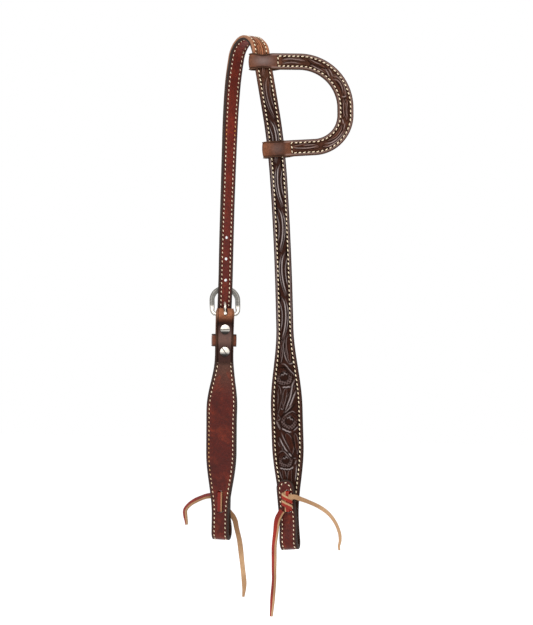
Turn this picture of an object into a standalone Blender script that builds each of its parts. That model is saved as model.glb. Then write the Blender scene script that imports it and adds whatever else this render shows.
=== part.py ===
"""Western one-ear headstall, hanging from its crown.

Metres, +Z up. The origin is the underside of the crown's highest point. The off leg, with its
tooled face outward, hangs at -Y, and the near leg, with the buckle, hangs at +Y. Every strap is
a ribbon: a spine with a travel direction T, a width direction W and an outward direction N.
"""

import math

import bmesh
import bpy
import numpy as np
from mathutils import Matrix

# Leather
LAYER = 0.0023
LINING = 0.0022
SEAM_GAP = 0.0003
FIT_GAP = 0.0003
EDGE_CHAMFER = 0.0005

# Crown strap
ARCH_RADIUS = 0.0178
ARCH_TURN_DEGREES = 49.0
CROWN_WIDTH = 0.0168
BILLET_WIDTH = 0.0143
OFF_LEG_LENGTH = 0.5110
NEAR_LEG_LENGTH = 0.5080
BILLET_TAIL_SHARE = 0.353
BILLET_TAPER = 0.0160
BILLET_TIP_WIDTH = 0.0070
HOLE_PITCH = 0.0215
HOLE_DIAMETER = 0.0030
HOLES_ABOVE_BUCKLE = 3
HOLES_BELOW_BUCKLE = 3

# How the legs hang: (share of the stretch's length, sideways slope, turn in degrees). The near
# leg has a stretch from the crown to the buckle and one from the turnback's end to the bit
OFF_HANG_SHARES = (
    (0.00, 0.170, 48.0),
    (0.030, 0.170, 44.0),
    (0.055, 0.172, 18.0),
    (0.17, 0.172, 18.0),
    (0.235, 0.115, 18.0),
    (0.31, 0.066, 18.0),
    (0.42, 0.048, 14.0),
    (0.54, 0.026, 11.0),
    (0.70, 0.022, 8.0),
    (0.80, 0.034, 4.0),
    (0.87, 0.022, 0.0),
    (0.94, 0.030, 0.0),
    (1.00, 0.090, 0.0),
)
NEAR_UPPER_SHARES = (
    (0.000, -0.160, 48.0),
    (0.145, -0.160, 46.0),
    (0.250, -0.080, 42.0),
    (0.415, -0.040, 38.0),
    (0.747, -0.031, 30.0),
    (1.000, -0.020, 21.0),
)
NEAR_LOWER_SHARES = (
    (0.00, -0.020, 21.0),
    (0.09, -0.060, 17.0),
    (0.24, -0.050, 6.0),
    (0.35, -0.007, 0.0),
    (0.53, -0.007, 0.0),
    (0.70, -0.018, 0.0),
    (1.00, -0.018, 0.0),
)

# Cheeks: the necks and swells, measured up from where the bit fold starts
CHEEK_WIDTH = 0.0312
BIT_END_WIDTH = 0.0176
OFF_NECK = 0.0210
OFF_SWELL_LENGTH = 0.1900
OFF_SWELL_SHARES = (0.39, 0.57)
NEAR_NECK = 0.0160
NEAR_SWELL_BELOW_BAR = 0.0410
NEAR_SWELL_SHARES = (0.40, 0.66)

# Bit ends: folded outward, turned up and tied. Heights are above the fold's underside
BIT_GAP = 0.0070
FOLD_CLOSE_LENGTH = 0.0200
TURNED_END_HEIGHT = 0.0690
TURNED_TIP_LENGTH = 0.0085
OFF_TIE_HEIGHT = 0.0380
NEAR_TIE_HEIGHT = 0.0300
TIE_PITCH = 0.0190
TIE_SLOT_WIDTH = 0.0062
TIE_SLOT_HEIGHT = 0.0027
TIP_BLUNT_SHARE = 0.22
TIP_RING_SHARES = (0.04, 0.12, 0.25, 0.45, 0.70, 1.00)

# Laces
LACE_WIDTH = 0.0048
LACE_THICKNESS = 0.0016
TIE_CORNER_RADIUS = 0.0011
KNOT_TURNS = 2.0
KNOT_HALF_WIDTH = 0.0055
KNOT_HEIGHT = 0.0132
KNOT_BITE = 0.0002
KNOT_STEPS_PER_TURN = 16

# Buckle, tongue and turnback
BUCKLE_FROM_APEX = 0.2870
BUCKLE_WIDTH = 0.0311
BUCKLE_LIMB = 0.0050
BUCKLE_THICKNESS = 0.0036
BUCKLE_CENTRE_HEIGHT = 0.0150
BUCKLE_BAR_RADIUS = 0.0016
BUCKLE_BEVEL = 0.0008
FRAME_PLAY = 0.0016
TONGUE_WIDTH = 0.0024
TONGUE_TAPER_SHARE = 0.25
TONGUE_OVERHANG = 0.0014
TONGUE_EYE_WIDTH = 0.0030
TONGUE_EYE_WALL = 0.0013
TONGUE_PLAY = 0.0007
TONGUE_CROSS_SHARES = (0.22, 0.66)
TONGUE_RINGS = 28
TONGUE_SIDES = 12
CHAPE_WIDTH = 0.0185
TURNBACK_LENGTH = 0.0490
TURNBACK_END_WIDTH = 0.0168
BILLET_RAMP = 0.0460
BILLET_RAMP_BELOW_BAR = 0.0040

# Keeper
KEEPER_WALL = 0.0017
KEEPER_LENGTH = 0.0125
KEEPER_BELOW_BAR = 0.0265
KEEPER_WIDTH = 0.0249
KEEPER_CORNER = 0.0026

# Two-part strap screws
UPPER_SCREW_BELOW_BAR = 0.0154
LOWER_SCREW_BELOW_BAR = 0.0379
SCREW_HEAD_RADIUS = 0.0048
SCREW_HEAD_THICKNESS = 0.0013
SCREW_HEAD_RIM = 0.0007
SCREW_SHANK_RADIUS = 0.0013
POST_HEAD_THICKNESS = 0.0009
POST_BARREL_RADIUS = 0.0023
POST_BORE_RADIUS = 0.0016
DRIVER_SLOT_WIDTH = 0.0009
DRIVER_SLOT_DEPTH = 0.0006
UPPER_DRIVER_DEGREES = 4.0
LOWER_DRIVER_DEGREES = -55.0

# Ear
EAR_BAND = 0.0158
EAR_FROM_APEX = 0.0370
EAR_RUN = 0.0364
EAR_TOP_RADIUS = 0.0455
EAR_SIDE = 0.0070
EAR_BOTTOM_RADIUS = 0.0325
EAR_BOTTOM_DEGREES = 86.5
EAR_LOOP_GAP = 0.0006
EAR_SIDE_GAP = 0.0032
EAR_TAIL_JOG = 0.0085
EAR_TAIL_LENGTH = 0.0100
EAR_WAIST = 0.0128
EAR_WAIST_REACH = 0.0100

# Sampling
FINE_STEP = 0.0005
LEAN_PASSES = 8
LONGEST_FACET = 0.0075
MOST_TURN_DEGREES = 11.0
SMOOTH_DEGREES = 35.0
ROUND_SIDES = 24
CUT_OVERRUN = 0.0020

# Lace ends, from the knot to the tip: across the strap, out from it, and up, all from the
# middle of the tie's outer strand
LACE_POINT_SPACING = 0.0060
OFF_LONG_ROUTE = (
    (-0.0050, 0.0000, -0.0088),
    (-0.0066, 0.0006, -0.0112),
    (-0.0103, 0.0018, -0.0180),
    (-0.0134, 0.0024, -0.0300),
    (-0.0146, 0.0024, -0.0430),
    (-0.0146, 0.0020, -0.0560),
    (-0.0145, 0.0016, -0.0675),
    (-0.0148, 0.0014, -0.0770),
    (-0.0163, 0.0016, -0.0910),
    (-0.0174, 0.0020, -0.1025),
    (-0.0184, 0.0022, -0.1120),
)
OFF_SHORT_ROUTE = (
    (0.0064, 0.0002, 0.0046),
    (0.0086, 0.0008, 0.0047),
    (0.0130, 0.0024, 0.0044),
    (0.0220, 0.0044, 0.0016),
    (0.0330, 0.0064, -0.0048),
    (0.0422, 0.0076, -0.0120),
    (0.0486, 0.0080, -0.0202),
    (0.0526, 0.0078, -0.0292),
    (0.0532, 0.0074, -0.0364),
    (0.0518, 0.0072, -0.0430),
    (0.0526, 0.0070, -0.0482),
)
NEAR_LONG_ROUTE = (
    (0.0060, 0.0000, -0.0104),
    (0.0072, 0.0006, -0.0124),
    (0.0098, 0.0018, -0.0158),
    (0.0122, 0.0028, -0.0210),
    (0.0136, 0.0034, -0.0280),
    (0.0168, 0.0040, -0.0410),
    (0.0190, 0.0042, -0.0565),
    (0.0208, 0.0042, -0.0700),
    (0.0222, 0.0040, -0.0805),
    (0.0226, 0.0038, -0.0885),
    (0.0219, 0.0036, -0.0975),
)
NEAR_SHORT_ROUTE = (
    (-0.0064, 0.0002, 0.0040),
    (-0.0084, 0.0008, 0.0043),
    (-0.0139, 0.0022, 0.0040),
    (-0.0212, 0.0036, 0.0022),
    (-0.0312, 0.0046, -0.0024),
    (-0.0377, 0.0048, -0.0070),
    (-0.0416, 0.0046, -0.0122),
    (-0.0416, 0.0044, -0.0174),
    (-0.0404, 0.0042, -0.0232),
    (-0.0398, 0.0040, -0.0274),
)

STRAP_HALF = (LAYER + LINING + SEAM_GAP) / 2
OUTER_FACE = SEAM_GAP / 2 + LAYER
LINING_FACE = -SEAM_GAP / 2 - LINING
QUARTER_ARCH = ARCH_RADIUS * math.pi / 2
FOLD_RADIUS = BIT_GAP / 2 + STRAP_HALF
BAR_OUT = SEAM_GAP / 2 - FIT_GAP - BUCKLE_BAR_RADIUS
BILLET_OUT = OUTER_FACE + POST_HEAD_THICKNESS + 2 * FIT_GAP + STRAP_HALF
FRAME_TOP = BUCKLE_CENTRE_HEIGHT + BUCKLE_WIDTH / 2
UP = np.array([0.0, 0.0, 1.0])


def clear_scene():
    for obj in list(bpy.data.objects):
        bpy.data.objects.remove(obj, do_unlink=True)


def material(name, colour, roughness, metallic=0.0):
    found = bpy.data.materials.new(name)
    found.use_nodes = True
    shader = found.node_tree.nodes["Principled BSDF"]
    shader.inputs["Base Color"].default_value = (*colour, 1.0)
    shader.inputs["Roughness"].default_value = roughness
    shader.inputs["Metallic"].default_value = metallic
    found.diffuse_color = (*colour, 1.0)
    return found


def unit(vectors):
    vectors = np.asarray(vectors, float)
    return vectors / np.linalg.norm(vectors, axis=-1, keepdims=True)


def ease(share):
    """0 to 1 with level ends."""
    share = np.clip(share, 0.0, 1.0)
    return share * share * (3 - 2 * share)


class Spine:
    """Points with a travel, a width and an outward direction, at arc lengths s."""

    def __init__(self, points, widths, travels=None):
        self.p = np.asarray(points, float)
        steps = np.linalg.norm(np.diff(self.p, axis=0), axis=1)
        self.s = np.concatenate([[0.0], np.cumsum(steps)])
        self.t = unit(np.gradient(self.p, self.s, axis=0) if travels is None else travels)
        w = np.asarray(widths, float)
        self.w = unit(w - (w * self.t).sum(1, keepdims=True) * self.t)
        self.n = np.cross(self.t, self.w)
        self.length = self.s[-1]

    def at(self, s):
        """The point, travel, width and outward direction at arc length s."""
        point, travel, width, out = (
            np.array([np.interp(s, self.s, field[:, i]) for i in range(3)])
            for field in (self.p, self.t, self.w, self.n)
        )
        return point, unit(travel), unit(width), unit(out)

    def part(self, first, last):
        keep = (self.s > first) & (self.s < last)
        start, end = self.at(first), self.at(last)
        fields = [
            np.vstack([start[i], field[keep], end[i]])
            for i, field in ((0, self.p), (2, self.w), (1, self.t))
        ]
        return Spine(*fields)

    def flipped(self):
        return Spine(self.p[::-1], self.w[::-1], -self.t[::-1])

    def moved(self, out):
        """The spine moved outward by out, which is one length or one for each point."""
        out = np.broadcast_to(out, self.s.shape)
        return Spine(self.p + self.n * out[:, None], self.w)


def joined(*spines):
    fields = []
    for name in ("p", "w", "t"):
        rows = [getattr(spine, name)[1 if i else 0 :] for i, spine in enumerate(spines)]
        fields.append(np.vstack(rows))
    return Spine(*fields)


def stretch(first, last, shares):
    """A table of shares between two lengths, as (length, slope, turn)."""
    return [(first + (last - first) * share, slope, turn) for share, slope, turn in shares]


def hanging_leg(keys, side):
    """A leg from the crown's highest point down: side is 1 for the off leg, -1 for the near leg."""
    keys = np.array(keys)
    count = int(math.ceil(keys[-1, 0] / FINE_STEP)) + 1
    s = np.linspace(0.0, keys[-1, 0], count)
    slope = np.interp(s, keys[:, 0], keys[:, 1])
    turn = np.radians(np.interp(s, keys[:, 0], keys[:, 2]))
    arch = np.clip(s / QUARTER_ARCH, 0.0, 1.0) * math.pi / 2
    heading = math.radians(ARCH_TURN_DEGREES)
    across = side * np.array([math.sin(heading), -math.cos(heading), 0.0])
    down = np.stack([slope, np.zeros(count), -np.ones(count)], 1)
    travel = unit(np.cos(arch)[:, None] * across + np.sin(arch)[:, None] * down)
    moves = (travel[1:] + travel[:-1]) / 2 * np.diff(s)[:, None]
    points = UP * STRAP_HALF + np.vstack([np.zeros(3), np.cumsum(moves, axis=0)])
    widths = np.stack([np.cos(turn), np.sin(turn), np.zeros(count)], 1)
    return Spine(points, widths, travel)


def bit_end(leg, outward):
    """The fold and turned-up end that follow a leg, towards outward, which is 1 or -1 along N."""
    point, travel, width, normal = leg.at(leg.length)
    out = normal * outward
    closed_up = 2 * FOLD_RADIUS - 2 * STRAP_HALF - FIT_GAP
    points = []
    steps = int(math.ceil(math.pi * FOLD_RADIUS / FINE_STEP))
    for i in range(steps):
        angle = math.pi * i / steps
        down = FOLD_RADIUS * math.sin(angle)
        points.append(point + travel * down + out * FOLD_RADIUS * (1 - math.cos(angle)))
    rise = TURNED_END_HEIGHT - FOLD_RADIUS - STRAP_HALF
    for height in np.linspace(0.0, rise, int(math.ceil(rise / FINE_STEP)) + 1):
        depth = 2 * FOLD_RADIUS - closed_up * ease(height / FOLD_CLOSE_LENGTH)
        points.append(point - travel * height + out * depth)
    return Spine(points, np.tile(width, (len(points), 1)))


def stations(spine, last, extra):
    """Arc lengths close enough together to follow the bends, with those of extra among them."""
    keep = [0.0]
    for i, s in enumerate(spine.s):
        if s <= 0.0 or s >= last:
            continue
        _, travel, width, _ = spine.at(keep[-1])
        least = min(float(travel @ spine.t[i]), float(width @ spine.w[i]))
        turned = math.degrees(math.acos(min(1.0, least)))
        if s - keep[-1] >= LONGEST_FACET or turned >= MOST_TURN_DEGREES:
            keep.append(s)
    wanted = [s for s in extra if 0.0 < s < last - FINE_STEP]
    keep = [s for s in keep if all(abs(s - other) > FINE_STEP for other in wanted)]
    keep = [s for s in keep if last - s > FINE_STEP]
    return sorted(set(keep + wanted + [last]))


def section(half, low, high):
    """A strap's section as (width, out) pairs, chamfered on the side further from zero."""
    cut = min(EDGE_CHAMFER, half / 2)
    near, far = (low, high) if abs(high) >= abs(low) else (high, low)
    inset = far - math.copysign(cut, far - near)
    return [(-half, near), (half, near), (half, inset), (half - cut, far), (cut - half, far), (-half, inset)]


def as_object(name, mesh):
    data = bpy.data.meshes.new(name)
    mesh.to_mesh(data)
    mesh.free()
    obj = bpy.data.objects.new(name, data)
    bpy.context.scene.collection.objects.link(obj)
    return obj


def loft(name, rings, closed=False):
    """A closed solid through rings of points, with flat ends unless the rings come round."""
    mesh = bmesh.new()
    rows = [[mesh.verts.new(point) for point in ring] for ring in rings]
    pairs = list(zip(rows, rows[1:]))
    if closed:
        pairs.append((rows[-1], rows[0]))
    for one, two in pairs:
        for i in range(len(one)):
            j = (i + 1) % len(one)
            mesh.faces.new((one[i], one[j], two[j], two[i]))
    if not closed:
        mesh.faces.new(rows[0][::-1])
        mesh.faces.new(rows[-1])
    bmesh.ops.recalc_face_normals(mesh, faces=mesh.faces)
    return as_object(name, mesh)


def ribbon(name, spine, half, low, high, last=None, extra=()):
    """A strap layer along a spine, half(s) wide each way, from low to high along N."""
    rings = []
    for s in stations(spine, spine.length if last is None else last, extra):
        point, _, width, out = spine.at(s)
        rings.append([point + width * w + out * n for w, n in section(half(s), low, high)])
    return loft(name, rings)


def turned(name, profile):
    """A solid turned about Y from (radius, y) pairs that start and end on the axis."""
    mesh = bmesh.new()
    verts = [mesh.verts.new((radius, y, 0.0)) for radius, y in profile]
    edges = [mesh.edges.new(pair) for pair in zip(verts, verts[1:])]
    bmesh.ops.spin(
        mesh,
        geom=verts + edges,
        cent=(0.0, 0.0, 0.0),
        axis=(0.0, 1.0, 0.0),
        angle=2 * math.pi,
        steps=ROUND_SIDES,
        use_merge=True,
    )
    bmesh.ops.remove_doubles(mesh, verts=mesh.verts, dist=FINE_STEP / 100)
    bmesh.ops.recalc_face_normals(mesh, faces=mesh.faces)
    return as_object(name, mesh)


def placed(frame, obj):
    """Moves a mesh made with X across, Y out and Z up to a frame: point, across, out and up."""
    point, across, out, up = frame
    matrix = Matrix.Identity(4)
    for row in range(3):
        for column, axis in enumerate((across, out, up)):
            matrix[row][column] = axis[row]
        matrix[row][3] = point[row]
    obj.data.transform(matrix)
    if matrix.determinant() < 0:
        obj.data.flip_normals()
    return obj


def dress(obj, finish):
    obj.data.materials.append(finish)
    if obj.type == "MESH":
        obj.data.shade_smooth()
        obj.data.set_sharp_from_angle(angle=math.radians(SMOOTH_DEGREES))
    return obj


def boolean(obj, other, operation="DIFFERENCE"):
    other.hide_render = True
    other.display_type = "WIRE"
    change = obj.modifiers.new(other.name, "BOOLEAN")
    change.operation = operation
    change.solver = "EXACT"
    change.object = other
    return obj


def cylinder(name, radius, low, high):
    """A cylinder about Y."""
    return turned(name, [(0.0, low), (radius, low), (radius, high), (0.0, high)])


def slot_cutter(name, width, height, low, high):
    """A round-ended slot along X, through Y from low to high."""
    radius = height / 2
    reach = width / 2 - radius
    outline = []
    for i in range(ROUND_SIDES):
        angle = 2 * math.pi * (i + 0.5) / ROUND_SIDES
        x = radius * math.cos(angle) + math.copysign(reach, math.cos(angle))
        outline.append((x, radius * math.sin(angle)))
    return loft(name, [[(x, y, z) for x, z in outline] for y in (low, high)])


def swell(height, neck, length, shares, top_width):
    """A cheek's half width at a height above the start of its bit fold."""
    place = np.interp((height - neck) / length, (0.0, *shares, 1.0), (0.0, 1.0, 2.0, 3.0))
    plain = BIT_END_WIDTH if place < 1.5 else top_width
    rise = place if place < 1.5 else 3.0 - place
    full = 0.5 - 0.5 * math.cos(math.pi * min(1.0, rise))
    return (plain + (CHEEK_WIDTH - plain) * full) / 2


def tip_half(half, from_tip, length):
    """A half width drawn in to a round tip."""
    share = min(1.0, max(0.0, from_tip / length))
    return half * max(TIP_BLUNT_SHARE, math.sqrt(1 - (1 - share) ** 2))


class Layout:
    """The spines of the straps."""

    def __init__(self):
        upper_end = BUCKLE_FROM_APEX - BILLET_RAMP + BILLET_RAMP_BELOW_BAR
        lower_start = BUCKLE_FROM_APEX + TURNBACK_LENGTH
        self.off_leg = hanging_leg(stretch(0.0, OFF_LEG_LENGTH, OFF_HANG_SHARES), 1)
        self.near_leg = hanging_leg(
            stretch(0.0, upper_end, NEAR_UPPER_SHARES)
            + stretch(lower_start, NEAR_LEG_LENGTH, NEAR_LOWER_SHARES),
            -1,
        )
        self.off_bit = bit_end(self.off_leg, 1)
        self.near_bit = bit_end(self.near_leg, -1)
        self.near_up = self.near_leg.flipped()
        self.bar_up = NEAR_LEG_LENGTH - BUCKLE_FROM_APEX
        self.billet_tail = self.bar_up * BILLET_TAIL_SHARE

        billet = self.near_up.part(self.bar_up - self.billet_tail, self.near_up.length)
        above_bar = billet.s - self.billet_tail
        self.near_crown = billet.moved(self.billet_out(above_bar))
        self.crown = joined(self.near_crown, self.off_leg, self.off_bit)
        self.apex = self.near_crown.length
        self.off_fold = self.apex + OFF_LEG_LENGTH

    @staticmethod
    def billet_out(above_bar):
        """How far the billet's middle lies out from the cheek's seam, at a height above the bar."""
        start = BILLET_RAMP - BILLET_RAMP_BELOW_BAR
        return BILLET_OUT * ease((start - above_bar) / BILLET_RAMP)

    def bar(self):
        """The heel bar's frame."""
        point, travel, width, normal = self.near_up.at(self.bar_up)
        return point + normal * BAR_OUT, width, normal, travel

    def below_bar(self, distance):
        point, across, out, up = self.bar()
        return point - up * distance, across, out, up

    def tie(self, which):
        """The middle of a tie, on the seam of its main strap."""
        leg, height, outward = {
            "off": (self.off_leg, OFF_TIE_HEIGHT, 1),
            "near": (self.near_leg, NEAR_TIE_HEIGHT, -1),
        }[which]
        s = leg.length + FOLD_RADIUS + STRAP_HALF - height - TIE_PITCH / 2
        point, travel, width, normal = leg.at(s)
        return point, width, normal * outward, -travel


def crown_half(layout, s):
    crown = layout.crown
    if s < layout.apex:
        plain = BILLET_WIDTH + (CROWN_WIDTH - BILLET_WIDTH) * ease(2 * s / layout.apex - 1)
        share = min(1.0, s / BILLET_TAPER)
        return (BILLET_TIP_WIDTH + (plain - BILLET_TIP_WIDTH) * math.sqrt(1 - (1 - share) ** 2)) / 2
    if s <= layout.off_fold:
        return swell(layout.off_fold - s, OFF_NECK, OFF_SWELL_LENGTH, OFF_SWELL_SHARES, CROWN_WIDTH)
    return tip_half(BIT_END_WIDTH / 2, crown.length - s, TURNED_TIP_LENGTH)


def crown_layers(layout, finishes):
    crown = layout.crown
    extra = [crown.length - TURNED_TIP_LENGTH * share for share in TIP_RING_SHARES]
    extra += [BILLET_TAPER * share for share in TIP_RING_SHARES]
    for name, low, high, finish in (
        ("crown_outer_layer", SEAM_GAP / 2, OUTER_FACE, "outer_leather"),
        ("crown_lining", LINING_FACE, -SEAM_GAP / 2, "lining_leather"),
    ):
        layer = ribbon(name, crown, lambda s: crown_half(layout, s), low, high, extra=extra)
        dress(layer, finishes[finish])
        billet_holes(layout, layer)
        tie_slots(layout, layer, "off")


def billet_holes(layout, layer):
    reach = STRAP_HALF + CUT_OVERRUN
    used = layout.billet_tail + FRAME_TOP * sum(TONGUE_CROSS_SHARES) / 2
    for i in range(-HOLES_BELOW_BUCKLE, HOLES_ABOVE_BUCKLE + 1):
        if i == 0:
            continue
        point, travel, width, normal = layout.crown.at(used + i * HOLE_PITCH)
        cutter = cylinder(f"cut_{layer.name}_hole_{i}", HOLE_DIAMETER / 2, -reach, reach)
        boolean(layer, placed((point, width, normal, travel), cutter))
    boolean(layer, tongue_tube(layout, f"cut_{layer.name}_tongue", TONGUE_PLAY))


def tie_slots(layout, layer, which):
    point, across, out, up = layout.tie(which)
    low = -STRAP_HALF - CUT_OVERRUN
    high = 3 * STRAP_HALF + FIT_GAP + CUT_OVERRUN
    for i in (-1, 1):
        name = f"cut_{layer.name}_tie_{i}"
        cutter = slot_cutter(name, TIE_SLOT_WIDTH, TIE_SLOT_HEIGHT, low, high)
        boolean(layer, placed((point + up * TIE_PITCH * i / 2, across, out, up), cutter))


def turnback_spine(layout):
    """From the bar's far side, over the bar and down the inner side to the turnback's end."""
    point, across, out, up = layout.bar()
    radius = BUCKLE_BAR_RADIUS + FIT_GAP + LAYER / 2
    over_lining = LINING_FACE - FIT_GAP - LAYER / 2 - BAR_OUT
    level = UPPER_SCREW_BELOW_BAR - SCREW_HEAD_RADIUS - FIT_GAP
    points = []
    steps = int(math.ceil(math.pi * radius / FINE_STEP))
    for i in range(steps):
        angle = math.pi * i / steps
        points.append(point + out * radius * math.cos(angle) + up * radius * math.sin(angle))
    for down in np.linspace(0.0, TURNBACK_LENGTH, int(math.ceil(TURNBACK_LENGTH / FINE_STEP)) + 1):
        points.append(point + out * (over_lining + (-radius - over_lining) * ease(1 - down / level)) - up * down)
    return Spine(points, np.tile(across, (len(points), 1)))


def near_cheek_layers(layout, finishes):
    bit = layout.near_bit.flipped()
    fold = bit.length
    main = joined(bit, layout.near_up.part(0.0, layout.bar_up))
    whole = joined(main, turnback_spine(layout).moved(-(SEAM_GAP + LAYER) / 2))
    extra = [TURNED_TIP_LENGTH * share for share in TIP_RING_SHARES]
    swell_length = layout.bar_up - NEAR_SWELL_BELOW_BAR - NEAR_NECK

    def half(s):
        if s < fold:
            return tip_half(BIT_END_WIDTH / 2, s, TURNED_TIP_LENGTH)
        return swell(s - fold, NEAR_NECK, swell_length, NEAR_SWELL_SHARES, CHAPE_WIDTH)

    def outer_half(s):
        if s <= main.length:
            return half(s)
        share = (s - main.length) / (whole.length - main.length)
        return (CHAPE_WIDTH + (TURNBACK_END_WIDTH - CHAPE_WIDTH) * share) / 2

    keeper_end = KEEPER_BELOW_BAR + KEEPER_LENGTH / 2 + 2 * FIT_GAP
    outer = ribbon("near_cheek_outer_layer", whole, outer_half, SEAM_GAP / 2, OUTER_FACE, extra=extra)
    lining = ribbon(
        "near_cheek_lining", main, half, LINING_FACE, -SEAM_GAP / 2, last=main.length - keeper_end, extra=extra
    )
    low, high = screw_span()
    for layer, finish in ((outer, "outer_leather"), (lining, "lining_leather")):
        dress(layer, finishes[finish])
        tie_slots(layout, layer, "near")
        for name, down in (("upper", UPPER_SCREW_BELOW_BAR), ("lower", LOWER_SCREW_BELOW_BAR)):
            cutter = cylinder(
                f"cut_{layer.name}_{name}", POST_BARREL_RADIUS + FIT_GAP, low - CUT_OVERRUN, high + CUT_OVERRUN
            )
            boolean(layer, placed(layout.below_bar(down), cutter))
    boolean(outer, turnback_slot(layout))


def turnback_slot(layout):
    """The slot over the bar that the tongue's eye turns in."""
    reach = BUCKLE_BAR_RADIUS + FIT_GAP + LAYER + FIT_GAP
    below = BUCKLE_BAR_RADIUS + FIT_GAP + TONGUE_EYE_WALL + FIT_GAP
    mesh = bmesh.new()
    bmesh.ops.create_cube(mesh, size=1.0)
    bmesh.ops.scale(
        mesh, vec=(TONGUE_EYE_WIDTH + 2 * FIT_GAP, 2 * reach, reach + below), verts=mesh.verts
    )
    bmesh.ops.translate(mesh, vec=(0.0, 0.0, (reach - below) / 2), verts=mesh.verts)
    return placed(layout.bar(), as_object("cut_turnback_slot", mesh))


def frame_axes(layout):
    """The buckle frame leans out, so that its top bar passes behind the billet."""
    point, across, out, up = layout.bar()
    lean = 0.0
    for _ in range(LEAN_PASSES):
        edge = (FRAME_TOP - BUCKLE_LIMB) * math.cos(lean)
        depth = layout.billet_out(edge) + STRAP_HALF + FRAME_PLAY - BAR_OUT
        lean = math.asin((depth + BUCKLE_THICKNESS / 2) / (FRAME_TOP - BUCKLE_LIMB))
    lean_up = up * math.cos(lean) + out * math.sin(lean)
    lean_out = out * math.cos(lean) - up * math.sin(lean)
    return (point, across, lean_out, lean_up), lean


def arc(centre, radius, first, last, steps):
    """Points of an arc in X and Z, from the first to the last angle in quarter turns."""
    angles = [math.pi / 2 * (first + (last - first) * i / steps) for i in range(steps + 1)]
    return [(centre[0] + radius * math.cos(a), centre[1] + radius * math.sin(a)) for a in angles]


def buckle_frame(layout, finishes):
    half = BUCKLE_WIDTH / 2
    inner = half - BUCKLE_LIMB
    gap_half = CHAPE_WIDTH / 2 + FIT_GAP
    foot = BUCKLE_BAR_RADIUS + FIT_GAP
    corner = half - gap_half
    quarter = ROUND_SIDES // 4
    outline = arc((gap_half, corner - foot), corner, -1, 0, quarter)
    outline += arc((0.0, BUCKLE_CENTRE_HEIGHT), half, 0, 2, 2 * quarter)
    outline += arc((-gap_half, corner - foot), corner, 2, 3, quarter)
    outline += [(-gap_half, foot), (-inner, BUCKLE_CENTRE_HEIGHT / 2)]
    outline += arc((0.0, BUCKLE_CENTRE_HEIGHT), inner, 2, 0, 2 * quarter)
    outline += [(inner, BUCKLE_CENTRE_HEIGHT / 2), (gap_half, foot)]
    mesh = bmesh.new()
    back = mesh.faces.new([mesh.verts.new((x, -BUCKLE_THICKNESS / 2, z)) for x, z in outline])
    grown = bmesh.ops.extrude_face_region(mesh, geom=[back])
    front = [item for item in grown["geom"] if isinstance(item, bmesh.types.BMVert)]
    bmesh.ops.translate(mesh, vec=(0.0, BUCKLE_THICKNESS, 0.0), verts=front)
    bmesh.ops.recalc_face_normals(mesh, faces=mesh.faces)
    rims = [edge for edge in mesh.edges if edge.verts[0].co.y == edge.verts[1].co.y]
    bmesh.ops.bevel(mesh, geom=rims, offset=BUCKLE_BEVEL, segments=2, profile=0.5, affect="EDGES")
    frame = as_object("buckle_frame", mesh)
    reach = gap_half + BUCKLE_LIMB / 2
    bar = cylinder("join_heel_bar", BUCKLE_BAR_RADIUS, -reach, reach)
    bar.data.transform(Matrix.Rotation(math.pi / 2, 4, "Z"))
    axes, _ = frame_axes(layout)
    placed(axes, frame)
    placed(axes, bar)
    boolean(frame, bar, "UNION")
    dress(frame, finishes["nickel"])
    hang_on_bar(layout, frame)


def hang_on_bar(layout, obj):
    """Puts an object's origin on the heel bar's axis, with its shape where it is."""
    point = layout.bar()[0]
    obj.data.transform(Matrix.Translation(-point))
    obj.location = point


def tongue_tube(layout, name, grow):
    """The tongue's shank: up on the inner side, through the billet, to rest behind the top bar."""
    point, across, out, up = layout.bar()
    _, lean = frame_axes(layout)
    bar_height = (FRAME_TOP - BUCKLE_LIMB / 2) * math.cos(lean)
    bar_depth = (FRAME_TOP - BUCKLE_LIMB / 2) * math.sin(lean)
    rest = bar_depth + (BUCKLE_THICKNESS / 2 + FIT_GAP + TONGUE_WIDTH / 2) / math.cos(lean)
    start = BUCKLE_BAR_RADIUS + FIT_GAP + TONGUE_EYE_WALL / 2
    heights = np.linspace(start, FRAME_TOP * math.cos(lean) + TONGUE_OVERHANG, TONGUE_RINGS)
    first, last = TONGUE_CROSS_SHARES
    depths = rest * ease((heights / FRAME_TOP - first) / (last - first))
    depths += np.maximum(0.0, heights - bar_height) * math.tan(lean)
    centres = point + up * heights[:, None] + out * depths[:, None]
    travels = unit(np.gradient(centres, axis=0))
    rings = []
    for height, centre, travel in zip(heights, centres, travels):
        side = np.cross(across, travel)
        size = TONGUE_WIDTH / 2 * (1 - TONGUE_TAPER_SHARE * (height / heights[-1]) ** 3) + grow
        angles = [2 * math.pi * i / TONGUE_SIDES for i in range(TONGUE_SIDES)]
        rings.append([centre + (across * math.cos(a) + side * math.sin(a)) * size for a in angles])
    return loft(name, rings)


def buckle_tongue(layout, finishes):
    inner = BUCKLE_BAR_RADIUS + FIT_GAP
    outer = inner + TONGUE_EYE_WALL
    half = TONGUE_EYE_WIDTH / 2
    rings = []
    for i in range(ROUND_SIDES):
        angle = 2 * math.pi * i / ROUND_SIDES
        corners = ((-half, inner), (half, inner), (half, outer), (-half, outer))
        rings.append([(x, r * math.cos(angle), r * math.sin(angle)) for x, r in corners])
    tongue = placed(layout.bar(), loft("buckle_tongue", rings, closed=True))
    boolean(tongue, tongue_tube(layout, "join_tongue_shank", 0.0), "UNION")
    dress(tongue, finishes["nickel"])
    hang_on_bar(layout, tongue)


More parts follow.
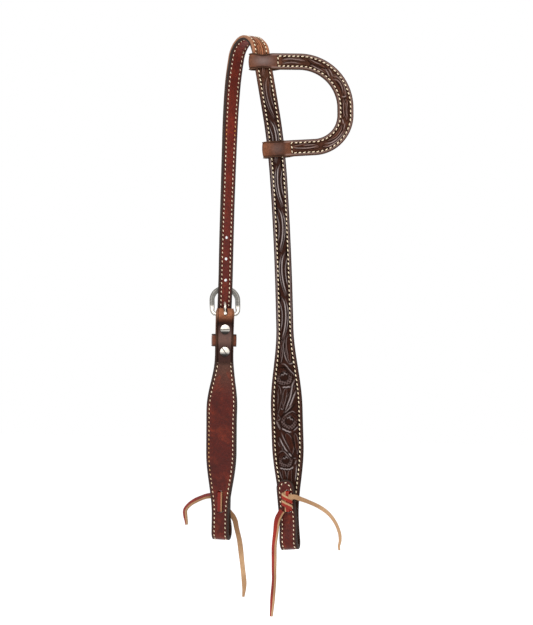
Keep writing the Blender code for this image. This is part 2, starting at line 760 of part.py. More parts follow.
def rounded_box(half_x, half_y, corner, steps):
    """Points and outward directions round a rectangle with round corners, in two directions."""
    found = []
    for quarter, (sx, sy) in enumerate(((1, 1), (-1, 1), (-1, -1), (1, -1))):
        for i in range(steps + 1):
            angle = math.pi / 2 * (quarter + i / steps)
            way = (math.cos(angle), math.sin(angle))
            centre = (sx * (half_x - corner), sy * (half_y - corner))
            found.append(((centre[0] + corner * way[0], centre[1] + corner * way[1]), way))
    return found


def keeper_loop(layout, finishes):
    """A closed loop round the cheek and the billet, held between the cheek and its turnback."""
    inner_face = SEAM_GAP / 2 - FIT_GAP - BAR_OUT
    outer_face = BILLET_OUT + STRAP_HALF + 2 * FIT_GAP - BAR_OUT
    middle = (inner_face + outer_face) / 2
    half_y = (outer_face - inner_face) / 2 + KEEPER_WALL / 2
    half_x = (KEEPER_WIDTH - KEEPER_WALL) / 2
    rings = []
    for (x, y), (way_x, way_y) in rounded_box(half_x, half_y, KEEPER_CORNER - KEEPER_WALL / 2, 4):
        ring = []
        for side, end in ((-1, -1), (1, -1), (1, 1), (-1, 1)):
            grow = side * KEEPER_WALL / 2
            ring.append((x + way_x * grow, middle + y + way_y * grow, end * KEEPER_LENGTH / 2))
        rings.append(ring)
    keeper = loft("keeper_loop", rings, closed=True)
    dress(placed(layout.below_bar(KEEPER_BELOW_BAR), keeper), finishes["plain_leather"])


def screw_span():
    """The leather's inner and outer faces at the screws, out from the heel bar's axis."""
    return LINING_FACE - FIT_GAP - LAYER - BAR_OUT, OUTER_FACE - BAR_OUT


def strap_screws(layout, finishes):
    low, high = screw_span()
    for name, down, degrees in (
        ("upper", UPPER_SCREW_BELOW_BAR, UPPER_DRIVER_DEGREES),
        ("lower", LOWER_SCREW_BELOW_BAR, LOWER_DRIVER_DEGREES),
    ):
        seat = low - FIT_GAP
        crown = seat - SCREW_HEAD_THICKNESS
        rim = seat - SCREW_HEAD_RIM
        screw = turned(
            f"{name}_screw",
            [
                (0.0, crown),
                (SCREW_HEAD_RADIUS * 0.5, crown + (rim - crown) / 4),
                (SCREW_HEAD_RADIUS, rim),
                (SCREW_HEAD_RADIUS, seat),
                (SCREW_SHANK_RADIUS, seat),
                (SCREW_SHANK_RADIUS, high - 2 * FIT_GAP),
                (0.0, high - 2 * FIT_GAP),
            ],
        )
        mesh = bmesh.new()
        bmesh.ops.create_cube(mesh, size=1.0)
        deep = 2 * DRIVER_SLOT_DEPTH
        bmesh.ops.scale(mesh, vec=(3 * SCREW_HEAD_RADIUS, deep, DRIVER_SLOT_WIDTH), verts=mesh.verts)
        turn = Matrix.Rotation(math.radians(-degrees), 4, "Y")
        bmesh.ops.transform(mesh, matrix=turn, verts=mesh.verts)
        bmesh.ops.translate(mesh, vec=(0.0, crown, 0.0), verts=mesh.verts)
        slot = as_object(f"cut_{name}_driver_slot", mesh)
        frame = layout.below_bar(down)
        boolean(dress(placed(frame, screw), finishes["nickel"]), placed(frame, slot))
        head = high + FIT_GAP
        post = turned(
            f"{name}_screw_post",
            [
                (0.0, head + POST_HEAD_THICKNESS),
                (SCREW_HEAD_RADIUS, head + POST_HEAD_THICKNESS),
                (SCREW_HEAD_RADIUS, head),
                (POST_BARREL_RADIUS, head),
                (POST_BARREL_RADIUS, low + FIT_GAP),
                (POST_BORE_RADIUS, low + FIT_GAP),
                (POST_BORE_RADIUS, high - FIT_GAP),
                (0.0, high - FIT_GAP),
            ],
        )
        dress(placed(frame, post), finishes["nickel"])


def tie_depths():
    """The middles of a tie's inner and outer strands, out from the seam of its main strap."""
    inner = -STRAP_HALF - FIT_GAP - LACE_THICKNESS / 2
    outer = 3 * STRAP_HALF + 2 * FIT_GAP + LACE_THICKNESS * 3 / 2 - KNOT_BITE
    return inner, outer


def tie_knot(layout, which, finishes):
    """A lace through both slots of both thicknesses, wrapped round its own outer strand."""
    inner, outer = tie_depths()
    rings = []
    half_depth = (outer - inner) / 2
    for (y, z), (way_y, way_z) in rounded_box(half_depth, TIE_PITCH / 2, TIE_CORNER_RADIUS, 3):
        ring = []
        for side, grow in ((-1, -1), (1, -1), (1, 1), (-1, 1)):
            off = grow * LACE_THICKNESS / 2
            x = side * LACE_WIDTH / 2
            ring.append((x, (inner + outer) / 2 + y + way_y * off, z + way_z * off))
        rings.append(ring)
    frame = layout.tie(which)
    knot = placed(frame, loft(f"{which}_tie_knot", rings, closed=True))
    boolean(knot, placed(frame, knot_wraps(which, outer)), "UNION")
    dress(knot, finishes["lace_leather"])


def knot_wraps(which, outer):
    across = KNOT_HALF_WIDTH - LACE_THICKNESS / 2
    deep = LACE_THICKNESS - KNOT_BITE
    count = int(KNOT_STEPS_PER_TURN * KNOT_TURNS)
    angles = np.linspace(0.0, 2 * math.pi * KNOT_TURNS, count + 1) - math.pi / 2
    drop = np.linspace(KNOT_HEIGHT / 2, -KNOT_HEIGHT / 2, count + 1)
    points = np.stack([-across * np.cos(angles), outer + deep * np.sin(angles), drop], 1)
    travels = unit(np.gradient(points, axis=0))
    outs = np.stack([-np.cos(angles) / across, np.sin(angles) / deep, 0 * angles], 1)
    outs = unit(outs - (outs * travels).sum(1, keepdims=True) * travels)
    widths = np.cross(outs, travels)
    steps = points[KNOT_STEPS_PER_TURN:] - points[:-KNOT_STEPS_PER_TURN]
    apart = np.abs((steps * widths[KNOT_STEPS_PER_TURN:]).sum(1)).min() - LACE_WIDTH
    print(f"{which} knot: least gap between its wraps {apart:.5f} m")
    rings = []
    for point, width, out in zip(points, widths, outs):
        corners = ((-1, -1), (1, -1), (1, 1), (-1, 1))
        rings.append(
            [point + width * a * LACE_WIDTH / 2 + out * b * LACE_THICKNESS / 2 for a, b in corners]
        )
    return loft(f"join_{which}_wraps", rings)


def smooth_route(points, spacing):
    """Points at even spacing on a smooth curve through the route's own points."""
    points = np.array(points)
    ends = np.vstack([2 * points[0] - points[1], points, 2 * points[-1] - points[-2]])
    dense = []
    for i in range(len(points) - 1):
        a, b, c, d = ends[i : i + 4]
        for u in np.linspace(0.0, 1.0, ROUND_SIDES, endpoint=False):
            dense.append(
                b + (c - a) * u / 2 + (a - 2.5 * b + 2 * c - d / 2) * u**2 + (1.5 * (b - c) + (d - a) / 2) * u**3
            )
    dense = np.array(dense + [points[-1]])
    s = np.concatenate([[0.0], np.cumsum(np.linalg.norm(np.diff(dense, axis=0), axis=1))])
    even = np.linspace(0.0, s[-1], max(3, int(round(s[-1] / spacing)) + 1))
    return np.stack([np.interp(even, s, dense[:, i]) for i in range(3)], 1)


def lace_end(layout, which, name, route, finishes):
    """A free end of a lace: a flat strip with round edges that follows its route."""
    point, across, out, up = layout.tie(which)
    _, outer = tie_depths()
    start = point + out * outer
    places = [start + across * a + out * b + up * c for a, b, c in route]
    data = bpy.data.curves.new(name, "CURVE")
    data.dimensions = "3D"
    data.bevel_depth = LACE_THICKNESS / 2
    data.bevel_resolution = 2
    data.extrude = (LACE_WIDTH - LACE_THICKNESS) / 2
    data.use_fill_caps = True
    spots = smooth_route(places, LACE_POINT_SPACING)
    line = data.splines.new("POLY")
    line.points.add(len(spots) - 1)
    for spot, place in zip(line.points, spots):
        spot.co = (*place, 1.0)
    obj = bpy.data.objects.new(name, data)
    bpy.context.scene.collection.objects.link(obj)
    dress(obj, finishes["lace_leather"])


def loop_line(front, tail):
    """A loop's middle line in section, (across, out), from its tail's end to its front."""
    centre = front - LAYER / 2 - CROWN_WIDTH / 2 - EAR_SIDE_GAP
    jog = CROWN_WIDTH / 2 + EAR_SIDE_GAP / 2
    found = []
    for across in np.arange(jog + EAR_TAIL_JOG + EAR_TAIL_LENGTH, centre, -FINE_STEP):
        found.append((across, -front + (tail + front) * float(ease((across - jog) / EAR_TAIL_JOG))))
    steps = int(math.ceil(math.pi * front / FINE_STEP))
    for i in range(steps + 1):
        angle = math.pi * i / steps
        found.append((centre - front * math.sin(angle), -front * math.cos(angle)))
    return found


def ear_line(layout):
    """The middle of the strap at the upper loop, the way the ear slides, and the ear's face."""
    point, _, width, _ = layout.off_leg.at(EAR_FROM_APEX)
    drop = EAR_TOP_RADIUS + EAR_SIDE + EAR_BOTTOM_RADIUS
    travel = unit(layout.off_leg.at(EAR_FROM_APEX + drop)[0] - point)
    return point, travel, unit(np.cross(travel, width))


def ear_spine(layout):
    """The outer layer's spine, the middle of its upper loop's front, and the lining's ends."""
    point, travel, out = ear_line(layout)
    across = unit(np.cross(UP, out))
    up = np.cross(out, across)
    lean = float(travel @ across) / -float(travel @ up)
    front = STRAP_HALF + EAR_LOOP_GAP + LAYER / 2
    loop = loop_line(front, front - LAYER - SEAM_GAP)
    places = [(a, b, 0.0) for a, b in loop]
    widths = [(0.0, 1.0)] * len(places)

    def straight(start, heading, length):
        for r in np.arange(FINE_STEP, length, FINE_STEP):
            places.append((start[0] + heading[0] * r, front, start[1] + heading[1] * r))
            widths.append((-heading[1], heading[0]))

    def curve(centre, radius, first, degrees):
        steps = int(math.ceil(radius * math.radians(degrees) / FINE_STEP))
        for i in range(steps + 1):
            angle = math.radians(first - degrees * i / steps)
            way = (math.cos(angle), math.sin(angle))
            places.append((centre[0] + radius * way[0], front, centre[1] + radius * way[1]))
            widths.append(way)

    straight((loop[-1][0], 0.0), (1.0, 0.0), EAR_RUN - loop[-1][0])
    side = EAR_RUN + EAR_TOP_RADIUS
    curve((EAR_RUN, -EAR_TOP_RADIUS), EAR_TOP_RADIUS, 90.0, 90.0)
    straight((side, -EAR_TOP_RADIUS), (0.0, -1.0), EAR_SIDE)
    low = -EAR_TOP_RADIUS - EAR_SIDE
    curve((side - EAR_BOTTOM_RADIUS, low), EAR_BOTTOM_RADIUS, 0.0, EAR_BOTTOM_DEGREES)
    tilt = math.radians(90.0 - EAR_BOTTOM_DEGREES)
    right = (math.cos(tilt), math.sin(tilt))
    last = (places[-1][0], places[-1][2])
    run = (last[0] + lean * last[1]) / (right[0] + lean * right[1])
    middle = (last[0] - right[0] * run, last[1] - right[1] * run)
    straight(last, (-right[0], -right[1]), run - loop[-1][0])
    for a, b in loop[::-1]:
        places.append((middle[0] + right[0] * a, b, middle[1] + right[1] * a))
        widths.append((right[1], -right[0]))
    spine = Spine(
        [point + across * a + out * b + up * c for a, b, c in places],
        [across * a + up * c for a, c in widths],
    )
    upper_front = spine.s[len(loop) - 1] - loop[-1][0]
    tail_end = loop[0][0] + FIT_GAP
    lower_front = spine.s[-len(loop)] + loop[-1][0]
    return spine, upper_front, (upper_front + tail_end, lower_front - tail_end)


def ear(layout, finishes):
    spine, waist, ends = ear_spine(layout)

    def half(s):
        draw = float(ease(1 - abs(s - waist) / EAR_WAIST_REACH))
        return (EAR_BAND - (EAR_BAND - EAR_WAIST) * draw) / 2

    extra = [waist + EAR_WAIST_REACH * share for share in (-1.0, -0.5, 0.0, 0.5, 1.0)]
    outer = ribbon("ear_outer_layer", spine, half, -LAYER / 2, LAYER / 2, extra=extra)
    back = -LAYER / 2 - SEAM_GAP
    lining = ribbon("ear_lining", spine.part(*ends), lambda s: EAR_BAND / 2, back - LINING, back)
    dress(outer, finishes["outer_leather"])
    dress(lining, finishes["lining_leather"])


def build():
    clear_scene()
    finishes = {
        "outer_leather": material("outer_leather", (0.075, 0.040, 0.030), 0.5),
        "lining_leather": material("lining_leather", (0.150, 0.030, 0.022), 0.5),
        "plain_leather": material("plain_leather", (0.110, 0.050, 0.034), 0.4),
        "lace_leather": material("lace_leather", (0.250, 0.030, 0.016), 0.45),
        "nickel": material("nickel", (0.700, 0.690, 0.660), 0.2, 1.0),
    }
    layout = Layout()
    crown_layers(layout, finishes)
    near_cheek_layers(layout, finishes)
    buckle_frame(layout, finishes)
    buckle_tongue(layout, finishes)
    keeper_loop(layout, finishes)
    strap_screws(layout, finishes)
    ear(layout, finishes)
    for which, ends in (
        ("off", (("long", OFF_LONG_ROUTE), ("short", OFF_SHORT_ROUTE))),
        ("near", (("long", NEAR_LONG_ROUTE), ("short", NEAR_SHORT_ROUTE))),
    ):
        tie_knot(layout, which, finishes)
        for kind, route in ends:
            lace_end(layout, which, f"{which}_lace_{kind}_tail", route, finishes)


build()
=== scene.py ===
import math

import bmesh
import bpy
import numpy as np
from mathutils import Matrix, Vector
from mathutils.kdtree import KDTree


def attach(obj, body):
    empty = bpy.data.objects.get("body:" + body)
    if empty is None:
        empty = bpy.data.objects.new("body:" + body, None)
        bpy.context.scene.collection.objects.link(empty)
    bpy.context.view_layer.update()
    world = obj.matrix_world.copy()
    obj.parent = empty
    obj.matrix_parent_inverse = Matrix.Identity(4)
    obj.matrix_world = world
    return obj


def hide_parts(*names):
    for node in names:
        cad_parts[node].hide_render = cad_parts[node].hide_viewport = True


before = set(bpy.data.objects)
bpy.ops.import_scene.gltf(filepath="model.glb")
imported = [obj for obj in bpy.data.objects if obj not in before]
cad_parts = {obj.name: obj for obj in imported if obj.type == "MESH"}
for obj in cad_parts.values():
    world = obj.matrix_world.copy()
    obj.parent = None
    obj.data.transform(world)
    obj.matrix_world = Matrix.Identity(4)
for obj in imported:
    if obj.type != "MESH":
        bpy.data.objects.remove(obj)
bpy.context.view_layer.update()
random = np.random.default_rng(11)
print("frame loaded")

# The camera, level and a little to the right of straight on
cameraSpot = {
    "azimuth": 14.0,  # degrees
    "distance": 1.5,
    "height": -0.2715,
    "sideways": 0.0180,
    "lens": 86.4,
    "sensor": 36.0,
}


def link(obj):
    bpy.context.scene.collection.objects.link(obj)


def addCamera():
    turn = math.radians(cameraSpot["azimuth"])
    right = Vector((math.cos(turn), math.sin(turn), 0.0))
    ahead = Vector((-math.sin(turn), math.cos(turn), 0.0))
    data = bpy.data.cameras.new("camera")
    data.lens = cameraSpot["lens"]
    data.sensor_width = cameraSpot["sensor"]
    camera = bpy.data.objects.new("camera", data)
    link(camera)
    camera.location = right * cameraSpot["sideways"] - ahead * cameraSpot["distance"]
    camera.location.z = cameraSpot["height"]
    camera.rotation_euler = (math.pi / 2, 0.0, turn)
    bpy.context.scene.camera = camera


addCamera()

# Leather thicknesses and the straps' sizes, as the solids have them
strap = {
    "layer": 0.0023,
    "lining": 0.0022,
    "seamGap": 0.0003,
    "seamShare": 0.4,  # of half the gap: where a layer's inner side lies
    "fitGap": 0.0003,
    "archRadius": 0.0178,
    "archTurn": 49.0,
    "crownWidth": 0.0168,
    "billetWidth": 0.0143,
    "offLength": 0.5110,
    "nearLength": 0.5080,
    "billetTailShare": 0.353,
    "billetTaper": 0.0160,
    "billetTip": 0.0070,
    "sewnTipShare": 0.3,  # of that width, where the sewing turns
    "holePitch": 0.0215,
    "holeRadius": 0.0015,
    "cheekWidth": 0.0312,
    "bitEndWidth": 0.0176,
    "offNeck": 0.0210,
    "offSwell": 0.1900,
    "offSwellShares": (0.39, 0.57),
    "nearNeck": 0.0160,
    "nearSwellBelowBar": 0.0410,
    "nearSwellShares": (0.40, 0.66),
    "bitGap": 0.0070,
    "foldClose": 0.0200,
    "turnedEnd": 0.0690,
    "turnedTip": 0.0085,
    "offTie": 0.0380,
    "nearTie": 0.0300,
    "tiePitch": 0.0190,
    "slotRadius": 0.0018,
    "slotStretch": 0.0013,
    "overrun": 0.003,  # of a cut, past the leather
    "innerOverrun": 0.002,
    "fineStep": 0.0005,
}
# How the legs hang: (share of the way down, slope sideways, turn of the width in degrees)
offHang = (
    (0.00, 0.170, 48.0), (0.030, 0.170, 44.0), (0.055, 0.172, 18.0), (0.17, 0.172, 18.0),
    (0.235, 0.115, 18.0), (0.31, 0.066, 18.0), (0.42, 0.048, 14.0), (0.54, 0.026, 11.0),
    (0.70, 0.022, 8.0), (0.80, 0.034, 4.0), (0.87, 0.022, 0.0), (0.94, 0.030, 0.0),
    (1.00, 0.090, 0.0),
)
nearUpperHang = (
    (0.000, -0.160, 48.0), (0.145, -0.160, 46.0), (0.250, -0.080, 42.0), (0.415, -0.040, 38.0),
    (0.747, -0.031, 30.0), (1.000, -0.020, 21.0),
)
nearLowerHang = (
    (0.00, -0.020, 21.0), (0.09, -0.060, 17.0), (0.24, -0.050, 6.0), (0.35, -0.007, 0.0),
    (0.53, -0.007, 0.0), (0.70, -0.018, 0.0), (1.00, -0.018, 0.0),
)
buckle = {
    "fromApex": 0.2870,
    "width": 0.0311,
    "limb": 0.0050,
    "thickness": 0.0036,
    "centreHeight": 0.0150,
    "barRadius": 0.0016,
    "play": 0.0016,
    "chape": 0.0185,
    "turnback": 0.0490,
    "turnbackEnd": 0.0168,
    "ramp": 0.0460,
    "rampBelowBar": 0.0040,
    "tongueWidth": 0.0024,
    "tongueTaper": 0.25,
    "tongueOverhang": 0.0014,
    "eyeWidth": 0.0030,
    "eyeWall": 0.0013,
    "tongueCross": (0.22, 0.66),
    "postHead": 0.0009,
    "bevel": 0.00045,
    "footBevel": 0.0008,  # added by the bar, where the frame isn't flat
    "footReach": 0.008,
    "flatFrom": 0.0065,
    "flatOver": 0.003,
    "seamAt": 0.35,  # the casting's seam, across the limb
    "seamWidth": 0.10,
    "tonguePale": 0.85,
    "eyeCorner": 0.0003,
    "eyePale": 0.7,
}
half = (strap["layer"] + strap["lining"] + strap["seamGap"]) / 2
seamSide = strap["seamGap"] / 2 * strap["seamShare"]
outerFace = strap["seamGap"] / 2 + strap["layer"]
liningFace = -strap["seamGap"] / 2 - strap["lining"]
foldRadius = strap["bitGap"] / 2 + half
barOut = strap["seamGap"] / 2 - strap["fitGap"] - buckle["barRadius"]
billetOut = outerFace + buckle["postHead"] + 2 * strap["fitGap"] + half
frameTop = buckle["centreHeight"] + buckle["width"] / 2


def unit(vectors):
    vectors = np.asarray(vectors, float)
    return vectors / np.maximum(np.linalg.norm(vectors, axis=-1, keepdims=True), 1e-12)


def ease(share):
    share = np.clip(share, 0.0, 1.0)
    return share * share * (3 - 2 * share)


def bell(distance, spread):
    return np.exp(-(distance / spread) ** 2)


def band(s, sizes):  # a soft band across a strap, from its middle, its spread and its strength
    middle, spread, strength = sizes
    return strength * bell(s - middle, spread)


def slope(s, sizes):  # a soft rise along a strap, from its start, its length and its height
    first, length, height = sizes
    return height * ease((s - first) / length)


def fineSteps(length):
    return int(math.ceil(length / strap["fineStep"]))


class StrapLine:  # points, each with a travel, a width and an outward direction
    def __init__(self, points, widths, travels=None):  # one width may do for all the points
        self.p = np.asarray(points, float)
        steps = np.linalg.norm(np.diff(self.p, axis=0), axis=1)
        self.s = np.concatenate([[0.0], np.cumsum(steps)])
        self.t = unit(np.gradient(self.p, self.s, axis=0) if travels is None else travels)
        w = np.broadcast_to(np.asarray(widths, float), self.p.shape)
        self.w = unit(w - (w * self.t).sum(1, keepdims=True) * self.t)
        self.n = np.cross(self.t, self.w)
        self.length = self.s[-1]

    def at(self, s):  # s may be one length or an array of them
        fields = []
        for field in (self.p, self.t, self.w, self.n):
            fields.append(np.stack([np.interp(s, self.s, field[:, i]) for i in range(3)], -1))
        return fields[0], unit(fields[1]), unit(fields[2]), unit(fields[3])

    def part(self, first, last):
        keep = (self.s > first) & (self.s < last)
        start, end = self.at(first), self.at(last)
        rows = []
        for i, field in ((0, self.p), (2, self.w), (1, self.t)):
            rows.append(np.vstack([start[i], field[keep], end[i]]))
        return StrapLine(*rows)

    def flipped(self):
        return StrapLine(self.p[::-1], self.w[::-1], -self.t[::-1])

    def moved(self, out):
        out = np.broadcast_to(out, self.s.shape)
        return StrapLine(self.p + self.n * out[:, None], self.w)


def joinLines(*lines):  # each begins where the one before it ends
    fields = []
    for name in ("p", "w", "t"):
        parts = [getattr(line, name)[1 if i else 0:] for i, line in enumerate(lines)]
        fields.append(np.vstack(parts))
    return StrapLine(*fields)


def stretchKeys(first, last, shares):
    return [(first + (last - first) * share, slope, turn) for share, slope, turn in shares]


def hangingLeg(keys, side):
    keys = np.array(keys)
    count = fineSteps(keys[-1, 0]) + 1
    s = np.linspace(0.0, keys[-1, 0], count)
    slope = np.interp(s, keys[:, 0], keys[:, 1])
    turn = np.radians(np.interp(s, keys[:, 0], keys[:, 2]))
    arch = np.clip(s / (strap["archRadius"] * math.pi / 2), 0.0, 1.0) * math.pi / 2
    heading = math.radians(strap["archTurn"])
    across = side * np.array([math.sin(heading), -math.cos(heading), 0.0])
    down = np.stack([slope, np.zeros(count), -np.ones(count)], 1)
    travel = unit(np.cos(arch)[:, None] * across + np.sin(arch)[:, None] * down)
    moves = (travel[1:] + travel[:-1]) / 2 * np.diff(s)[:, None]
    points = np.array([0.0, 0.0, half]) + np.vstack([np.zeros(3), np.cumsum(moves, axis=0)])
    widths = np.stack([np.cos(turn), np.sin(turn), np.zeros(count)], 1)
    return StrapLine(points, widths, travel)


def bitEnd(leg, outward):  # round the bit's place, then up along the strap to the rounded tip
    point, travel, width, normal = leg.at(leg.length)
    out = normal * outward
    closedUp = 2 * foldRadius - 2 * half - strap["fitGap"]
    points = []
    steps = fineSteps(math.pi * foldRadius)
    for i in range(steps):
        angle = math.pi * i / steps
        ahead = travel * foldRadius * math.sin(angle)
        points.append(point + ahead + out * foldRadius * (1 - math.cos(angle)))
    rise = strap["turnedEnd"] - foldRadius - half
    for height in np.linspace(0.0, rise, fineSteps(rise) + 1):
        depth = 2 * foldRadius - closedUp * ease(height / strap["foldClose"])
        points.append(point - travel * height + out * depth)
    return StrapLine(points, width)


def billetLift(aboveBar):  # how far the billet's middle lies out from the cheek's seam
    start = buckle["ramp"] - buckle["rampBelowBar"]
    return billetOut * ease((start - aboveBar) / buckle["ramp"])


offLeg = hangingLeg(stretchKeys(0.0, strap["offLength"], offHang), 1)
nearLeg = hangingLeg(
    stretchKeys(0.0, buckle["fromApex"] - buckle["ramp"] + buckle["rampBelowBar"], nearUpperHang)
    + stretchKeys(buckle["fromApex"] + buckle["turnback"], strap["nearLength"], nearLowerHang), -1)
offBit = bitEnd(offLeg, 1)
nearBit = bitEnd(nearLeg, -1)
nearUp = nearLeg.flipped()
barUp = strap["nearLength"] - buckle["fromApex"]
billetTail = barUp * strap["billetTailShare"]
billet = nearUp.part(barUp - billetTail, nearUp.length)
nearCrown = billet.moved(billetLift(billet.s - billetTail))
crownLine = joinLines(nearCrown, offLeg, offBit)
apex = nearCrown.length
offFold = apex + strap["offLength"]
print("strap lines laid")


def barFrame():  # the heel bar's middle, across, out and up
    point, travel, width, normal = nearUp.at(barUp)
    return point + normal * barOut, width, normal, travel


def belowBar(distance):
    point, across, out, up = barFrame()
    return point - up * distance, across, out, up


def tieFrame(leg, height, outward):  # the middle of a tie, on the seam of its main strap
    point, travel, width, normal = leg.at(leg.length + foldRadius + half - height - strap["tiePitch"] / 2)
    return point, width, normal * outward, -travel


offTie = tieFrame(offLeg, strap["offTie"], 1)
nearTie = tieFrame(nearLeg, strap["nearTie"], -1)


def swell(height, neck, length, shares, top):
    place = np.interp((height - neck) / length, (0.0, *shares, 1.0), (0.0, 1.0, 2.0, 3.0))
    plain = np.where(place < 1.5, strap["bitEndWidth"], top)
    rise = np.minimum(1.0, np.where(place < 1.5, place, 3.0 - place))
    full = 0.5 - 0.5 * np.cos(math.pi * rise)
    return (plain + (strap["cheekWidth"] - plain) * full) / 2


def tipHalf(wide, fromTip, length, blunt=0.05):
    share = np.clip(fromTip / length, 0.0, 1.0)
    return wide * np.maximum(blunt, np.sqrt(1 - (1 - share) ** 2))


def crownHalf(s, inset=0.0):  # the crown strap's half width, from the billet's tip to the far end
    s = np.asarray(s, float)
    plain = strap["billetWidth"] + (strap["crownWidth"] - strap["billetWidth"]) * ease(2 * s / apex - 1)
    share = np.clip((s - inset) / strap["billetTaper"], 0.0, 1.0)
    blunt = strap["billetTip"] * (1.0 if inset == 0.0 else strap["sewnTipShare"])
    tip = blunt + (plain - blunt) * np.sqrt(1 - (1 - share) ** 2)
    leg = swell(offFold - s, strap["offNeck"], strap["offSwell"], strap["offSwellShares"],
                strap["crownWidth"])
    end = tipHalf(strap["bitEndWidth"] / 2 - inset, crownLine.length - s - inset, strap["turnedTip"])
    return np.where(s < apex, tip / 2 - inset, np.where(s <= offFold, leg - inset, end))


def turnback():  # from the bar's far side, over the bar and down the inner side
    point, across, out, up = barFrame()
    radius = buckle["barRadius"] + strap["fitGap"] + strap["layer"] / 2
    overLining = liningFace - strap["fitGap"] - strap["layer"] / 2 - barOut
    level = screws["upperBelowBar"] - screws["radius"] - strap["fitGap"]
    points = []
    steps = fineSteps(math.pi * radius)
    for i in range(steps):
        angle = math.pi * i / steps
        points.append(point + out * radius * math.cos(angle) + up * radius * math.sin(angle))
    for down in np.linspace(0.0, buckle["turnback"], fineSteps(buckle["turnback"]) + 1):
        lift = overLining + (-radius - overLining) * ease(1 - down / level)
        points.append(point + out * lift - up * down)
    return StrapLine(points, across)


# The strap screws and the keeper come before the near strap, which is laid to suit them
screws = {
    "upperBelowBar": 0.0154,
    "lowerBelowBar": 0.0379,
    "radius": 0.0048,
    "headHeight": 0.0013,
    "domeRise": 0.0006,
    "domeAngle": 1.15,  # of the head's curve, in radians
    "headEdge": 0.0003,
    "headChamfer": 0.0001,
    "shank": 0.0013,
    "barrel": 0.0023,
    "barrelBore": 0.0016,
    "postEdge": 0.0005,
    "postChamfer": 0.00015,
    "slotWidth": 0.0009,
    "slotDepth": 0.0006,
    "upperTurn": 4.0,  # of the slot, in degrees
    "lowerTurn": -55.0,
}
keeper = {
    "wall": 0.0017,
    "length": 0.0125,
    "belowBar": 0.0265,
    "width": 0.0249,
    "corner": 0.0026,
    "edge": 0.0006,
    "creaseInset": 0.0015,
    "creaseWidth": 0.00032,
    "creaseDepth": 0.00025,
    # painted shade in the creases
    "creaseDark": 0.7,
    "tan": 0.30,
}
nearBitUp = nearBit.flipped()
nearFold = nearBitUp.length
nearMain = joinLines(nearBitUp, nearUp.part(0.0, barUp))
nearWhole = joinLines(nearMain, turnback().moved(-(strap["seamGap"] + strap["layer"]) / 2))


def nearHalf(s, inset=0.0):  # from the turned-up end up to the bar, and on down the turnback
    s = np.asarray(s, float)
    long = barUp - strap["nearSwellBelowBar"] - strap["nearNeck"]
    cheek = swell(s - nearFold, strap["nearNeck"], long, strap["nearSwellShares"], buckle["chape"]) - inset
    end = tipHalf(strap["bitEndWidth"] / 2 - inset, s - inset, strap["turnedTip"])
    share = np.clip((s - nearMain.length) / (nearWhole.length - nearMain.length), 0.0, 1.0)
    back = (buckle["chape"] + (buckle["turnbackEnd"] - buckle["chape"]) * share) / 2 - inset
    return np.where(s < nearFold, end, np.where(s <= nearMain.length, cheek, back))


# Node helpers
def fill(tree, made, values):  # each input from a value, a colour or another node's output
    for key, value in values.items():
        if isinstance(value, bpy.types.NodeSocket):
            tree.links.new(value, made.inputs[key])
        else:
            made.inputs[key].default_value = (*value, 1.0) if isinstance(value, tuple) else value


def node(tree, kind, values, **settings):
    made = tree.nodes.new(kind)
    for key, value in settings.items():
        setattr(made, key, value)
    fill(tree, made, values)
    return made


def newGroup(name, inputs, outputs):
    group = bpy.data.node_groups.new(name, "ShaderNodeTree")
    for label, kind, value in inputs:
        socket = group.interface.new_socket(label, in_out="INPUT", socket_type="NodeSocket" + kind)
        socket.default_value = value
    for label, kind in outputs:
        group.interface.new_socket(label, in_out="OUTPUT", socket_type="NodeSocket" + kind)
    return group, group.nodes.new("NodeGroupInput").outputs, group.nodes.new("NodeGroupOutput")


def noise(tree, vector, scale, detail=3.0, roughness=0.55, distortion=0.0):
    values = {"Vector": vector, "Scale": scale, "Detail": detail, "Roughness": roughness,
              "Distortion": distortion}
    return node(tree, "ShaderNodeTexNoise", values).outputs["Fac"]


def maths(tree, operation, first, second, clamp=False):
    made = node(tree, "ShaderNodeMath", {0: first, 1: second}, operation=operation, use_clamp=clamp)
    return made.outputs[0]


def ramp(tree, value, low, high, start=0.0, end=1.0):
    values = {"Value": value, "From Min": low, "From Max": high, "To Min": start, "To Max": end}
    return node(tree, "ShaderNodeMapRange", values, interpolation_type="SMOOTHSTEP").outputs[0]


def blendColour(tree, share, first, second):
    return node(tree, "ShaderNodeMix", {0: share, 6: first, 7: second}, data_type="RGBA").outputs[2]


def attribute(tree, name):
    return node(tree, "ShaderNodeAttribute", {}, attribute_name=name).outputs["Fac"]


def objectPlace(tree):
    return tree.nodes.new("ShaderNodeTexCoord").outputs["Object"]


def forShader(finish):  # a finish whose colours, 0 to 255 as seen, are as the shader wants them
    found = dict(finish)
    for key, value in finish.items():
        if isinstance(value, tuple):
            shares = [part / 255 for part in value]
            found[key] = tuple(x / 12.92 if x <= 0.04045 else ((x + 0.055) / 1.055) ** 2.4 for x in shares)
    return found


# Effects that several leathers share
def grainGroup():  # pores and pebbles in the grain, with slow changes of tone
    group, inside, outside = newGroup(
        "leatherGrain",
        [("Vector", "Vector", (0.0, 0.0, 0.0)), ("Pebble", "Float", 0.5)],
        [("Height", "Float"), ("Tone", "Float"), ("Patch", "Float")])
    vector = inside["Vector"]
    cells = node(group, "ShaderNodeTexVoronoi", {"Vector": vector, "Scale": 1150.0}, feature="F1")
    pebble = ramp(group, cells.outputs["Distance"], 0.1, 0.75, 1.0, 0.0)
    mixed = maths(group, "MULTIPLY", pebble, inside["Pebble"])
    fill(group, outside, {
        "Height": maths(group, "ADD", mixed, noise(group, vector, 2600.0, 2.0)),
        "Tone": noise(group, vector, 420.0, 5.0, 0.65),
        "Patch": noise(group, vector, 38.0, 3.0, 0.5, 0.6),
    })
    return group


